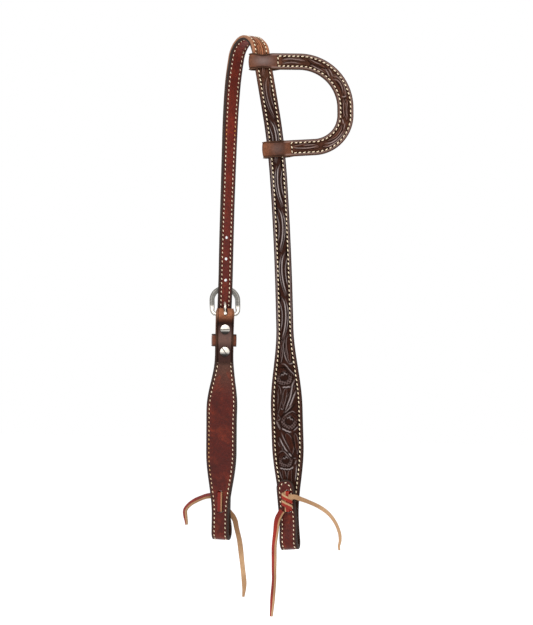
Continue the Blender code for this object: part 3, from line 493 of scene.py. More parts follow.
def dyeAndLightGroup():  # dye and painted shade in the cuts; rubbed dye and a painted highlight on the high places
    group, inside, outside = newGroup(
        "dyeAndPaintedLight",
        [("Colour", "Color", (0.2, 0.1, 0.05, 1.0)), ("Recess", "Color", (0.02, 0.01, 0.01, 1.0)),
         ("RubbedAndHighlight", "Color", (0.3, 0.2, 0.1, 1.0)), ("Deep", "Float", 0.0), ("High", "Float", 0.0),
         ("Tone", "Float", 0.5)],
        [("Colour", "Color"), ("Roughness", "Float")])
    recess = inside["Recess"]
    colour = blendColour(group, ramp(group, inside["Tone"], 0.3, 0.7, 0.0, 0.45), inside["Colour"], recess)
    colour = blendColour(group, inside["High"], colour, inside["RubbedAndHighlight"])
    rough = maths(group, "MULTIPLY", inside["Deep"], 0.25)
    fill(group, outside, {
        "Colour": blendColour(group, inside["Deep"], colour, recess),
        "Roughness": maths(group, "ADD", rough, ramp(group, inside["Tone"], 0.25, 0.75, 0.30, 0.46)),
    })
    return group


grainNodes = grainGroup()
dyeAndLightNodes = dyeAndLightGroup()


def emptyTree(owner):
    owner.use_nodes = True
    owner.node_tree.nodes.clear()
    return owner.node_tree


def newMaterial(name):
    made = bpy.data.materials.new(name)
    tree = emptyTree(made)
    shader = tree.nodes.new("ShaderNodeBsdfPrincipled")
    node(tree, "ShaderNodeOutputMaterial", {0: shader.outputs[0]})
    return made, tree, shader


def grained(tree, finish):
    return node(tree, "ShaderNodeGroup", {"Vector": objectPlace(tree), "Pebble": finish["pebble"]},
                node_tree=grainNodes).outputs


def bumped(tree, height, distance):
    return node(tree, "ShaderNodeBump", {"Height": height, "Distance": distance}).outputs["Normal"]


def dyedAndLit(tree, shader, finish, grain, colour, rubbedAndHighlight, edge):  # dye and painted shade in the cuts, rubbed dye and a painted highlight on the high places, and the bare cut edge
    dyeAndLight = node(tree, "ShaderNodeGroup", {
        "Colour": colour,
        "Recess": finish["recess"],
        "RubbedAndHighlight": rubbedAndHighlight,
        "Deep": attribute(tree, "deep"),
        "High": attribute(tree, "high"),
        "Tone": grain["Tone"],
    }, node_tree=dyeAndLightNodes).outputs
    bare = attribute(tree, "edge")
    dull = maths(tree, "MULTIPLY", bare, finish["dullEdge"])
    fill(tree, shader, {
        "Base Color": blendColour(tree, bare, dyeAndLight["Colour"], edge),
        "Roughness": maths(tree, "ADD", dyeAndLight["Roughness"], dull),
        "Specular IOR Level": finish["specular"],
        "Normal": bumped(tree, grain["Height"], finish["grainDepth"]),
    })


# One dictionary of finish for each leather: colours as seen, then gloss and grain
tooledFinish = {
    "brown": (64, 31, 20),
    "tan": (178, 114, 80),
    # recess: dye and painted shade in the cuts, and darker grain tones; rubbed: dye rubbed off the high
    # places, with a painted highlight
    "recess": (13, 6, 4),
    "rubbedAndHighlight": (156, 144, 142),
    "edge": (44, 26, 19),
    "tanEdge": (146, 104, 80),
    "specular": 0.05,
    "dullEdge": 0.25,
    "pebble": 0.5,
    "grainDepth": 0.00012,
}
liningFinish = {
    "upper": (112, 36, 23),
    "lower": (80, 24, 16),
    "warm": (132, 50, 27),
    "worn": (86, 55, 43),
    # recess: darker patches and grain tones, and painted shade in the sewing
    "recess": (34, 12, 10),
    "edge": (44, 32, 26),
    "specular": 0.16,
    "dullEdge": 0.25,
    "pebble": 0.8,
    "grainDepth": 0.00009,
}
smoothFinish = {
    "brown": (84, 46, 32),
    "orange": (146, 74, 38),
    # recess: darker grain tones, and painted shade in the keeper's creases
    "recess": (26, 13, 10),
    "edge": (32, 19, 15),
    "specular": 0.2,
    "dullEdge": 0.25,
    "pebble": 0.25,
    "grainDepth": 0.00006,
}
laceFinish = {
    "grain": (152, 34, 14),
    "dark": (92, 20, 10),
    "flesh": (182, 146, 110),
    "fleshDark": (132, 96, 66),
    "specular": 0.25,
    "pebble": 0.3,
    "grainDepth": 0.00008,
}
nickelFinish = {
    "bright": (156, 153, 147),
    "worn": (92, 88, 82),
    "cast": (88, 86, 82),
    # painted shade for the screw heads, below and in their slots; the pale tone is a painted highlight on
    # their tops
    "paintedShade": (26, 22, 20),
    "pale": (238, 230, 216),
    "scratch": 0.00001,
    "matt": 0.3,
}
threadFinish = {
    "cream": (238, 222, 190),
    "golden": (206, 142, 58),
    "shade": (150, 112, 70),
    "twist": 2100.0,
    "strand": 0.0001,
    "roughness": 0.55,
}


def strapLeather():  # the tooled outer leather, dark brown and lighter over the crown
    f = forShader(tooledFinish)
    made, tree, shader = newMaterial("tooledLeather")
    grain = grained(tree, f)
    patch = ramp(tree, grain["Patch"], 0.2, 0.7, 0.75, 1.15)
    tan = maths(tree, "MULTIPLY", attribute(tree, "tan"), patch)
    colour = blendColour(tree, tan, f["brown"], f["tan"])
    # rubbed dye with a painted highlight, for the high places
    rubbedAndHighlight = blendColour(tree, tan, f["rubbedAndHighlight"], f["tan"])
    edge = blendColour(tree, tan, f["edge"], f["tanEdge"])
    dyedAndLit(tree, shader, f, grain, colour, rubbedAndHighlight, edge)
    return made


def liningLeather():  # waxy burgundy lining, darker towards the bits
    f = forShader(liningFinish)
    made, tree, shader = newMaterial("liningLeather")
    grain = grained(tree, f)
    colour = blendColour(tree, attribute(tree, "low"), f["upper"], f["lower"])
    colour = blendColour(tree, attribute(tree, "worn"), colour, f["worn"])
    warmth = ramp(tree, noise(tree, objectPlace(tree), 62.0, 4.0, 0.6, 0.8), 0.45, 0.75, 0.0, 0.6)
    colour = blendColour(tree, warmth, colour, f["warm"])
    patch = ramp(tree, grain["Patch"], 0.42, 0.8, 0.0, 0.5)
    colour = blendColour(tree, patch, colour, f["recess"])
    dyedAndLit(tree, shader, f, grain, colour, colour, f["edge"])
    return made


def smoothLeather():  # the keeper's, plain and burnished
    f = forShader(smoothFinish)
    made, tree, shader = newMaterial("smoothLeather")
    grain = grained(tree, f)
    patch = ramp(tree, grain["Patch"], 0.2, 0.7, 0.7, 1.1)
    tan = maths(tree, "MULTIPLY", attribute(tree, "tan"), patch, clamp=True)
    colour = blendColour(tree, tan, f["brown"], f["orange"])
    dyedAndLit(tree, shader, f, grain, colour, colour, f["edge"])
    return made


def laceLeather():  # red grain on one side, tan flesh on the other and along the cut edges
    f = forShader(laceFinish)
    made, tree, shader = newMaterial("laceLeather")
    grain = grained(tree, f)
    patch, shade = grain["Patch"], attribute(tree, "shade")
    red = blendColour(tree, ramp(tree, patch, 0.3, 0.75, 0.0, 0.8), f["grain"], f["dark"])
    # painted shade darkens the grain and the flesh where a lace hangs in shadow
    red = blendColour(tree, shade, red, f["dark"])
    flesh = blendColour(tree, ramp(tree, patch, 0.35, 0.7, 0.0, 0.6), f["flesh"], f["fleshDark"])
    flesh = blendColour(tree, shade, flesh, f["fleshDark"])
    side = attribute(tree, "flesh")
    fill(tree, shader, {
        "Base Color": blendColour(tree, side, red, flesh),
        "Roughness": ramp(tree, side, 0.0, 1.0, 0.36, 0.85),
        "Specular IOR Level": f["specular"],
        "Normal": bumped(tree, grain["Height"], f["grainDepth"]),
    })
    return made


def threadMaterial():  # waxed thread, laid up in strands
    f = forShader(threadFinish)
    made, tree, shader = newMaterial("waxedThread")
    place = objectPlace(tree)
    colour = blendColour(tree, attribute(tree, "golden"), f["cream"], f["golden"])
    worn = ramp(tree, noise(tree, place, 700.0, 3.0), 0.45, 0.8, 0.0, 0.45)
    fill(tree, shader, {
        "Base Color": blendColour(tree, worn, colour, f["shade"]),
        "Roughness": f["roughness"],
        "Normal": bumped(tree, noise(tree, place, f["twist"], 1.0), f["strand"]),
    })
    return made


def nickelMaterial():  # polished, and dull grey where the casting was left alone
    f = forShader(nickelFinish)
    made, tree, shader = newMaterial("nickel")
    place = objectPlace(tree)
    cast = attribute(tree, "dull")
    pale = attribute(tree, "pale")
    tarnish = ramp(tree, noise(tree, place, 260.0, 4.0, 0.6), 0.4, 0.75, 0.0, 0.5)
    metal = blendColour(tree, tarnish, f["bright"], f["worn"])
    metal = blendColour(tree, cast, metal, f["cast"])
    metal = blendColour(tree, pale, metal, f["pale"])
    worn = ramp(tree, noise(tree, place, 900.0, 3.0), 0.3, 0.7, 0.14, 0.28)
    matt = maths(tree, "MULTIPLY", maths(tree, "ADD", cast, pale), f["matt"])
    fill(tree, shader, {
        # painted shade on the screw heads
        "Base Color": blendColour(tree, attribute(tree, "paintedShade"), metal, f["paintedShade"]),
        "Roughness": maths(tree, "ADD", worn, matt),
        "Metallic": 1.0,
        "Normal": bumped(tree, noise(tree, place, 1900.0, 2.0), f["scratch"]),
    })
    return made


finishes = {
    "tooled": strapLeather(),
    "lining": liningLeather(),
    "smooth": smoothLeather(),
    "lace": laceLeather(),
    "thread": threadMaterial(),
    "nickel": nickelMaterial(),
}
print("materials made")


# Mesh helpers
def meshObject(name, mesh):
    data = bpy.data.meshes.new(name)
    mesh.to_mesh(data)
    mesh.free()
    obj = bpy.data.objects.new(name, data)
    link(obj)
    return obj


def faceOut(mesh):
    bmesh.ops.recalc_face_normals(mesh, faces=mesh.faces)


def finished(name, mesh, finish, body, nodes=(), sharp=40.0):
    obj = meshObject(name, mesh)
    obj.data.materials.append(finishes[finish])
    obj.data.shade_smooth()
    obj.data.set_sharp_from_angle(angle=math.radians(sharp))
    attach(obj, body)
    if nodes:
        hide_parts(*nodes)
    return obj


def wrapGrid(places, traits, comesRound=False, mesh=None):  # a grid bent round a section, along a line
    rows, ring = places.shape[:2]
    mesh = mesh or bmesh.new()
    long = rows if comesRound else rows - 1
    layers = {key: mesh.verts.layers.float.get(key) or mesh.verts.layers.float.new(key) for key in traits}
    traits = {key: np.broadcast_to(value, (rows, ring)) for key, value in traits.items()}
    made = bmesh.ops.create_grid(mesh, x_segments=long, y_segments=ring, size=0.5)["verts"]
    for vert in made:
        i = round((vert.co.x + 0.5) * long) % rows
        j = round((vert.co.y + 0.5) * ring) % ring
        vert.co = places[i, j]
        for key, layer in layers.items():
            vert[layer] = traits[key][i, j]
    bmesh.ops.remove_doubles(mesh, verts=made, dist=1e-7)
    if not comesRound:
        bmesh.ops.holes_fill(mesh, edges=[edge for edge in mesh.edges if edge.is_boundary], sides=0)
    faceOut(mesh)
    return mesh


def roundSection(faceSteps, backSteps, cornerSteps=3, backShare=0.3):
    # share of the half width, share of the corner taken off it, share of the thickness,
    # corners taken off that, and 1 on the face, 2 on the back
    face = [(x, x, 1.0, 0.0, 1.0) for x in np.linspace(-1, 1, faceSteps + 1)]
    back = [(x, x * backShare, 0.0, 0.0, 2.0) for x in np.linspace(1, -1, backSteps + 1)]
    right = []
    for angle in np.linspace(0, math.pi / 2, cornerSteps + 1)[1:]:
        right.append((1.0, 1 - math.sin(angle), 1.0, -(1 - math.cos(angle)), 0.0))
    for angle in np.linspace(0, math.pi / 2, 3)[:-1]:
        right.append((1.0, backShare * (1 - math.cos(angle)), 0.0, backShare * (1 - math.sin(angle)), 0.0))
    left = [(-x, -taken, level, lowered, kind) for x, taken, level, lowered, kind in right[::-1]]
    return np.array(face + right + back + left)


def stationsAlong(*stretches):  # even steps over stretches of (first, last, step), end to end
    found = []
    for first, last, step in stretches:
        found.append(np.linspace(first, last, max(2, int(round((last - first) / step)) + 1))[:-1])
    found.append(np.array([stretches[-1][1]]))
    return np.concatenate(found)


def tipStations(length, count):  # closer together towards a round tip
    return length * (1 - np.cos(np.linspace(0, math.pi / 2, count)))


def stations(*parts):  # all of them in order, and none twice
    s = np.unique(np.concatenate(parts))
    return s[np.concatenate([[True], np.diff(s) > 1e-5])]


def smoothRoute(points, spacing):  # evenly spaced points on a smooth curve through the route's own
    points = np.array(points)
    ends = np.vstack([2 * points[0] - points[1], points, 2 * points[-1] - points[-2]])
    dense = []
    for i in range(len(points) - 1):
        a, b, c, d = ends[i:i + 4]
        for u in np.linspace(0.0, 1.0, 24, endpoint=False):
            dense.append(b + (c - a) * u / 2 + (a - 2.5 * b + 2 * c - d / 2) * u ** 2
                         + (1.5 * (b - c) + (d - a) / 2) * u ** 3)
    dense = np.array(dense + [points[-1]])
    s = np.concatenate([[0.0], np.cumsum(np.linalg.norm(np.diff(dense, axis=0), axis=1))])
    even = np.linspace(0.0, s[-1], max(3, int(round(s[-1] / spacing)) + 1))
    return np.stack([np.interp(even, s, dense[:, i]) for i in range(3)], 1)


# A layer's edges: how far they bend, and the dark band of the cut edge that comes over the face
edging = {
    "mostBend": 0.8,  # of the half width, at the tips
    "bandFrom": 0.8,  # of the bend
    "band": 0.0009,
    "liningBand": 0.0024,
    "earLiningBand": 0.0018,
    "back": 0.6,  # how bare the back looks
}


def layerPlaces(line, s, wide, section, low, high, corner, relief=None, cutBand=edging["band"]):
    # low is the seam side, high the face; relief(s, w) gives heights and traits for the face
    share, takeWide, level, takeHigh, kind = section.T
    bend = np.minimum(corner, edging["mostBend"] * wide)
    w = share[None, :] * wide[:, None] - takeWide[None, :] * bend[:, None]
    way = math.copysign(1.0, high - low)
    h = low + (high - low) * level[None, :] + way * takeHigh[None, :] * bend[:, None]
    fromEdge = wide[:, None] - np.abs(w)
    bare = 1 - ease((fromEdge - np.max(corner) * edging["bandFrom"]) / cutBand)
    edge = np.where(kind[None, :] == 1, bare, np.where(kind[None, :] == 2, edging["back"], 1.0))
    # deep is dye and painted shade in cuts, creases and sewing; high is painted highlight and sheen, partly
    # rubbed dye
    traits = {"edge": edge, "deep": np.zeros_like(w), "high": np.zeros_like(w)}
    if relief is not None:
        onFace = np.broadcast_to(kind[None, :] == 1, w.shape)
        sAll = np.broadcast_to(s[:, None], w.shape)
        rise, deep, light = relief(sAll[onFace], w[onFace])
        h[onFace] += way * rise
        traits["deep"][onFace] = deep
        traits["high"][onFace] = light
    p, _, across, out = line.at(s)
    places = p[:, None, :] + across[:, None, :] * w[:, :, None] + out[:, None, :] * h[:, :, None]
    return places, traits, w


def roundedBox(halfX, halfY, corner, steps):
    found = []
    for quarter, (sx, sy) in enumerate(((1, 1), (-1, 1), (-1, -1), (1, -1))):
        for i in range(steps + 1):
            angle = math.pi / 2 * (quarter + i / steps)
            x, y = corner * math.cos(angle), corner * math.sin(angle)
            found.append((sx * (halfX - corner) + x, sy * (halfY - corner) + y))
    return found + found[:1]


def bandRound(points, width, middle, count):  # a closed band whose face looks away from its middle
    rough = StrapLine(points, width)
    dense = rough.at(np.linspace(0.0, rough.length, count))[0]
    line = StrapLine(dense, width)
    return line if line.n[0] @ (dense[0] - middle) > 0 else StrapLine(dense, -width)
    return places, traits, w


# Sewing: a row is a path in (length, width), and its holes lie an even pitch apart
sewing = {
    "pitch": 0.00442,
    "inset": 0.0031,
    "spacing": 0.002,  # of the points that a row is laid by on a straight run
    "rowStep": 0.0003,
    "grooveDepth": 0.00042,
    "grooveWidth": 0.00075,
    # grooveDark and holeDark are painted shade, scaled by shade on the face and liningShade on the lining
    "grooveDark": 0.5,
    "holeDepth": 0.0007,
    "holeRadius": 0.00062,
    "holeDark": 0.95,
    "length": 0.0028,
    "radius": 0.00050,
    "flatness": 0.9,
    "sunk": 0.5,  # in the groove, as a share of its depth
    "proud": 0.00008,
    "slant": 13.0,  # in degrees
    "slantSpread": 3.0,
    "radiusRange": (0.92, 1.08),
    "lengthRange": (0.94, 1.04),
    "stainRange": (-0.06, 0.12),
    "shade": 0.85,
    "liningSize": 0.82,
    "liningShade": 0.5,
}


class SewnRow:
    def __init__(self, line, path, level):  # level is the face's height, outwards
        self.size = 1.0 if level > 0 else sewing["liningSize"]
        self.shade = sewing["shade"] if level > 0 else sewing["liningShade"]
        s, w = np.array(path).T
        step = np.concatenate([[0.0], np.cumsum(np.hypot(np.diff(s), np.diff(w)))])
        fine = np.linspace(0.0, step[-1], max(2, int(step[-1] / sewing["rowStep"])))
        self.s, self.w = np.interp(fine, step, s), np.interp(fine, step, w)
        p, _, across, out = line.at(self.s)
        self.out = out * math.copysign(1.0, level)
        self.p = p + across * self.w[:, None] + out * level
        steps = np.linalg.norm(np.diff(self.p, axis=0), axis=1)
        self.arc = np.concatenate([[0.0], np.cumsum(steps)])
        self.count = max(1, round(self.arc[-1] / sewing["pitch"]))
        self.pitch = self.arc[-1] / self.count

    def at(self, arc, field):
        return np.array([np.interp(arc, self.arc, field[:, i]) for i in range(3)])


def closedPath(s, w):  # up one side and back down the other
    path = list(zip(s, w)) + list(zip(s[::-1], -w[::-1]))
    return path + path[:1]


def rowTree(rows):
    tree = KDTree(sum(len(row.s) for row in rows))
    phases = []
    for row in rows:
        for s, w, arc in zip(row.s, row.w, row.arc):
            tree.insert((s, w, 0.0), len(phases))
            phases.append(abs(arc / row.pitch - round(arc / row.pitch)) * row.pitch)
    tree.balance()
    return tree, phases


def sewnRelief(rows, s, w):  # the groove and its holes, as a depth and a painted shade
    tree, phases = rowTree(rows)
    depth = np.zeros(len(s))
    dark = np.zeros(len(s))
    reach = 3 * sewing["grooveWidth"]
    for i, (a, b) in enumerate(zip(s, w)):
        _, index, far = tree.find((a, b, 0.0))
        if far > reach:
            continue
        groove = math.exp(-(far / sewing["grooveWidth"]) ** 2)
        hole = math.exp(-(far ** 2 + phases[index] ** 2) / sewing["holeRadius"] ** 2)
        depth[i] = -sewing["grooveDepth"] * groove - sewing["holeDepth"] * hole
        dark[i] = min(1.0, sewing["grooveDark"] * groove + sewing["holeDark"] * hole) * rows[0].shade
    return depth, dark


def plainRelief(rows):  # a sewn face without tooling
    def relief(s, w):
        depth, dark = sewnRelief(rows, s, w)
        return depth, dark, np.zeros(len(s))

    return relief


def repeated(mesh, count):  # copies of the whole mesh, doubled until there are enough
    verts, faces = len(mesh.verts), len(mesh.faces)
    made = 1
    while made < count:
        take = min(made, count - made)
        mesh.verts.ensure_lookup_table()
        mesh.faces.ensure_lookup_table()
        picked = mesh.faces[:take * faces]
        edges = list({edge for face in picked for edge in face.edges})
        bmesh.ops.duplicate(mesh, geom=mesh.verts[:take * verts] + edges + picked)
        made += take
    mesh.verts.ensure_lookup_table()


def stitchFrames(rows):  # a place, three scaled axes and a stain for every stitch
    found = []
    sunk = sewing["proud"] - sewing["grooveDepth"] * sewing["sunk"]
    for row in rows:
        for k in range(row.count):
            arc = (k + 0.5) * row.pitch
            out = unit(row.at(arc, row.out))
            ahead = row.at(arc + row.pitch / 4, row.p)
            behind = row.at(arc - row.pitch / 4, row.p)
            travel = unit(ahead - behind - out * ((ahead - behind) @ out))
            slant = math.radians(sewing["slant"] + random.normal(0.0, sewing["slantSpread"]))
            along = travel * math.cos(slant) + np.cross(out, travel) * math.sin(slant)
            size = sewing["radius"] * row.size * random.uniform(*sewing["radiusRange"])
            long = sewing["length"] * row.size * random.uniform(*sewing["lengthRange"]) / 2
            centre = row.at(arc, row.p) + out * sunk
            axes = (np.cross(out, along) * size, out * size * sewing["flatness"], along * long)
            found.append((centre, axes, random.uniform(*sewing["stainRange"])))
    return found


def sewStitches(name, body, rows, golden):  # golden(place) is how far the thread is stained
    ball = bmesh.new()
    bmesh.ops.create_uvsphere(ball, u_segments=8, v_segments=6, radius=1.0)
    data = bpy.data.meshes.new("stitch")
    ball.to_mesh(data)
    ball.free()
    mesh = bmesh.new()
    mesh.from_mesh(data)
    bpy.data.meshes.remove(data)
    stain = mesh.verts.layers.float.new("golden")
    base = [vert.co.copy() for vert in mesh.verts]
    frames = stitchFrames(rows)
    repeated(mesh, len(frames))
    for k, (centre, (across, out, along), tone) in enumerate(frames):
        tone = min(1.0, max(0.0, tone + golden(centre)))
        for j, (x, y, z) in enumerate(base):
            vert = mesh.verts[k * len(base) + j]
            vert.co = centre + across * x + out * y + along * z
            vert[stain] = tone
    faceOut(mesh)
    return finished(name, mesh, "thread", body)


# Tooling: leaves, flowers and lines cut and bevelled into the grain
tooling = {
    "ground": 0.00050,
    "groundShare": 0.6,  # of that depth, between the motifs
    # groundDark and borderDark are dye and painted shade
    "groundDark": 0.40,
    "cutWidth": 0.00055,
    "cutDepth": 0.00035,
    "lineReach": 0.003,
    "lineStep": 0.0003,
    "lineRise": 0.0002,
    "lineSides": 0.00014,
    "lineCut": 0.0004,
    "margin": 0.0041,
    "border": 0.0005,
    "borderDepth": 0.6,  # of a cut's
    "borderDark": 0.45,
    "panelEdge": 0.0008,
    "panelEnd": 0.005,
    "rimFrom": 0.0026,  # from the strap's edge: the plain rim outside the sewing
    "rimEdge": 0.0006,
}
leafShape = {
    "reach": 0.006,
    "lobe": 0.0058,
    "lobeDepth": 0.08,
    "rise": 0.00012,
    "ridgeIn": 0.00055,
    "ridgeWidth": 0.00030,
    "ridgeRise": 0.00012,
    "shadedRidge": 0.35,  # of the ridge's height and painted highlight, on the hollow side
    # a painted highlight on the ridge
    "ridgeLight": 0.45,
    "vein": 0.00030,
    "veinWidth": 0.00028,
    "slotPitch": 0.0021,
    "slotSlant": 1.3,
    "slotShare": 0.45,  # of the vein's depth
    "fullSlots": 0.006,  # the width from which a leaf's slots are full
    "edgeCut": 0.0003,
    # painted shade along the cut
    "edgeDark": 0.00025,
}
flowerShape = {  # in shares of the flower's size, but for its heights
    "reach": 1.6,
    "heart": 0.50,
    "petals": 0.95,
    "line": 0.98,
    "lip": 1.13,
    "under": 1.28,
    "thin": 0.06,
    "thinLip": 0.07,
    "lipEnd": 10,  # in degrees
    "hood": -0.16,  # the heart is sunk above this
    "bud": -0.42,
    "budSize": 0.12,
    "heartRise": 0.0005,
    "heartSunk": 0.0002,
    "hoodSunk": 0.0004,
    "petalRise": 0.00016,
    "pebbleDepth": 0.0001,
    "lineDepth": 0.0005,
    "lipRise": 0.0003,
}


def carveLeaf(s, w, marks, leaf):
    s0, w0, s1, w1, bow, fat = leaf
    f = leafShape
    keep = (s > min(s0, s1) - f["reach"]) & (s < max(s0, s1) + f["reach"])
    if not keep.any():
        return
    long = math.hypot(s1 - s0, w1 - w0)
    ds, dw = (s1 - s0) / long, (w1 - w0) / long
    x, y = s[keep] - s0, w[keep] - w0
    t = (x * ds + y * dw) / long
    inT = np.clip(t, 0.0, 1.0)
    q = -x * dw + y * ds - bow * 4 * inT * (1 - inT)
    swellOut = np.sin(math.pi * inT ** 0.8) ** 0.7
    lobes = 1 + f["lobeDepth"] * np.sin(inT * long / f["lobe"] * math.pi)
    wide = np.maximum(fat / 2 * swellOut * lobes, 1e-5)
    past = np.maximum(0.0, np.abs(t - inT)) * long
    far = np.hypot(np.maximum(0.0, np.abs(q) - wide), past)
    inside = (np.abs(q) < wide) & (past == 0)
    d = np.abs(q) / wide
    fromEdge = wide - np.abs(q)
    lit = np.where(q * math.copysign(1.0, bow) > 0, 1.0, f["shadedRidge"])
    ridge = bell(fromEdge - f["ridgeIn"], f["ridgeWidth"])
    vein = bell(q, f["veinWidth"]) * ease((1 - inT) * 4)
    slots = np.sin((inT * long - np.abs(q) * f["slotSlant"]) / f["slotPitch"] * 2 * math.pi)
    slots = np.maximum(0.0, slots) * ease(d * 3) * ease((1 - d) * 3) * min(1.0, fat / f["fullSlots"])
    height = f["rise"] * (0.2 + 1.1 * d ** 2) + f["ridgeRise"] * ridge * lit
    height = height - f["vein"] * vein - f["vein"] * f["slotShare"] * slots
    height -= tooling["cutDepth"] * bell(fromEdge, f["edgeCut"])
    # painted shade in the vein, the slots and the cuts, and a painted highlight on the ridge
    dark = 0.7 * vein + 0.3 * slots + 0.6 * bell(fromEdge, f["edgeDark"])
    cut = bell(far, tooling["cutWidth"])
    h, deep, high = (mark[keep] for mark in marks)
    outside = h * (1 - cut) - (tooling["ground"] + tooling["cutDepth"]) * cut
    marks[0][keep] = np.where(inside, height, outside)
    marks[1][keep] = np.where(inside, dark, np.maximum(deep, cut))
    marks[2][keep] = np.where(inside, f["ridgeLight"] * ridge * lit, high * (1 - cut))


def carveFlower(s, w, marks, flower):  # a domed heart under a scalloped hood, in pebbled petals
    s0, w0, size, heading, reach = flower  # reach is half the outer lip's, in degrees
    f = flowerShape
    keep = np.abs(s - s0) < f["reach"] * size
    if not keep.any():
        return
    turn = math.radians(heading)
    x, y = (s[keep] - s0) / size, (w[keep] - w0) / size
    u, v = x * math.cos(turn) + y * math.sin(turn), y * math.cos(turn) - x * math.sin(turn)
    r = np.hypot(u, v * 1.05) * (1 + 0.05 * np.cos(4 * np.arctan2(v, u) + 0.7))
    inside = r < f["petals"]
    heart = r < f["heart"]
    sunk = heart & (u < f["hood"])
    own = math.sin(s0 * 900)  # no two flowers are alike
    pebbles = np.maximum(0.0, np.sin(u * 17 + v * 6 + own) * np.sin(v * 17 - u * 6)) ** 0.5
    scallop = np.abs(np.sin(v * 9 + own))
    hood = bell(u - f["hood"] - 0.45 * v ** 2 + 0.22 * own * v + 0.13 * scallop, f["thin"])
    hood = hood * ease((0.46 - np.abs(v)) / 0.2)
    bud = bell(np.hypot(u - f["bud"], v - 0.12 * own), f["budSize"])
    ends = ease((reach - np.degrees(np.arctan2(np.abs(v), u))) / f["lipEnd"])
    lip = bell(r - f["lip"] - 0.06 * np.abs(np.cos(v * 9)), f["thinLip"]) * ends
    line = bell(r - f["line"], f["thin"])
    under = bell(r - f["under"], f["thin"]) * ends
    dome = f["heartRise"] * np.sqrt(np.maximum(0.0, 1 - (r / f["heart"]) ** 2)) - f["heartSunk"]
    height = np.where(heart, dome, f["petalRise"] - f["pebbleDepth"] * pebbles)
    height = np.where(sunk, -f["hoodSunk"], height) + f["lipRise"] * hood
    # painted shade in the heart, under the hood, in the pebbled hollows and in the outline cuts; painted
    # highlights on the hood, bud, raised petals and lip
    dark = np.where(heart, 0.62 + 0.3 * ease((r - 0.3) / 0.2), 0.15 + 0.80 * pebbles)
    dark = np.where(sunk, 0.95 - 0.5 * bud, dark) * (1 - hood)
    light = np.where(heart, 0.0, 0.24 * (1 - pebbles) * ease(u + 0.6)) * ease((0.93 - r) / 0.1)
    light = np.maximum(light, np.maximum(hood * 0.75, 0.5 * bud))
    h, deep, high = (mark[keep] for mark in marks)
    height = np.where(inside, height, h) - f["lineDepth"] * line
    dark = np.maximum(np.where(inside, dark, deep), np.maximum(line, under)) * (1 - lip)
    marks[0][keep] = height - f["lipRise"] * under + f["lipRise"] * lip
    marks[1][keep] = np.clip(dark, 0, 1)
    marks[2][keep] = np.maximum(np.where(inside, light, high) * (1 - line), lip)


def carveLine(s, w, marks, spots, width, strength, raised):  # a ridge between two cuts, or a cut alone, with a painted highlight on the ridge and painted shade in the cuts
    reach = tooling["lineReach"]
    keep = (s > spots[:, 0].min() - reach) & (s < spots[:, 0].max() + reach)
    if not keep.any():
        return
    way = smoothRoute(np.column_stack([spots, np.zeros(len(spots))]), tooling["lineStep"])
    far = np.hypot(s[keep][:, None] - way[None, :, 0], w[keep][:, None] - way[None, :, 1])
    along = far.argmin(1) / (len(way) - 1)
    far = far.min(1)
    ends = 0.25 + 0.75 * ease(np.minimum(along, 1 - along) / 0.22)
    crest = bell(far, width) * ends
    sides = bell(far - 1.9 * width, 0.8 * width) * ends
    h, deep, high = (mark[keep] for mark in marks)
    if raised:
        marks[0][keep] = h + tooling["lineRise"] * crest - tooling["lineSides"] * sides
        marks[1][keep] = np.maximum(deep * (1 - crest), 0.85 * sides)
        marks[2][keep] = np.maximum(high * (1 - 0.7 * sides), strength * crest)
    else:
        marks[0][keep] = h - tooling["lineCut"] * strength * crest
        marks[1][keep] = np.maximum(deep, strength * crest)
        marks[2][keep] = high * (1 - crest)


def carve(s, w, wide, motifs):  # the panel between the rows, its ground and border line darkened with dye and painted shade
    ground = np.full(len(s), -tooling["ground"] * tooling["groundShare"])
    marks = [ground, np.full(len(s), tooling["groundDark"]), np.zeros(len(s))]
    for kind, *sizes in motifs:
        if kind in ("ridge", "cut"):
            carveLine(s, w, marks, *sizes, kind == "ridge")
        else:
            (carveLeaf if kind == "leaf" else carveFlower)(s, w, marks, sizes)
    fromBorder = wide - tooling["margin"] - np.abs(w)
    panel = ease(fromBorder / tooling["panelEdge"] + 0.5)
    line = bell(fromBorder, tooling["border"])
    height, dark, light = (mark * panel for mark in marks)
    height = height - line * tooling["cutDepth"] * tooling["borderDepth"]
    return height, np.clip(dark + tooling["borderDark"] * line, 0, 1), np.clip(light, 0, 1)


# where a painted sheen lies, on the plain rim outside the sewing
def rimSheenBand(w, wide):
    return ease((np.abs(w) - wide + tooling["rimFrom"]) / tooling["rimEdge"])


def tooledFace(s, w, wide, rows, motifs, ends, crease, creased=None):
    # sewing, tooling between two ends, and a crease with painted shade along both edges, beyond the tooling
    # unless said
    depth, dark = sewnRelief(rows, s, w)
    carved, deep, high = carve(s, w, wide, motifs)
    panel = ease((s - ends[0]) / tooling["panelEnd"]) * ease((ends[1] - s) / tooling["panelEnd"])
    inset, width, sunk, shade = crease
    line = bell(wide - inset - np.abs(w), width) * (1 - panel if creased is None else creased)
    return depth + carved * panel - sunk * line, dark + deep * panel + shade * line, high * panel, panel, line


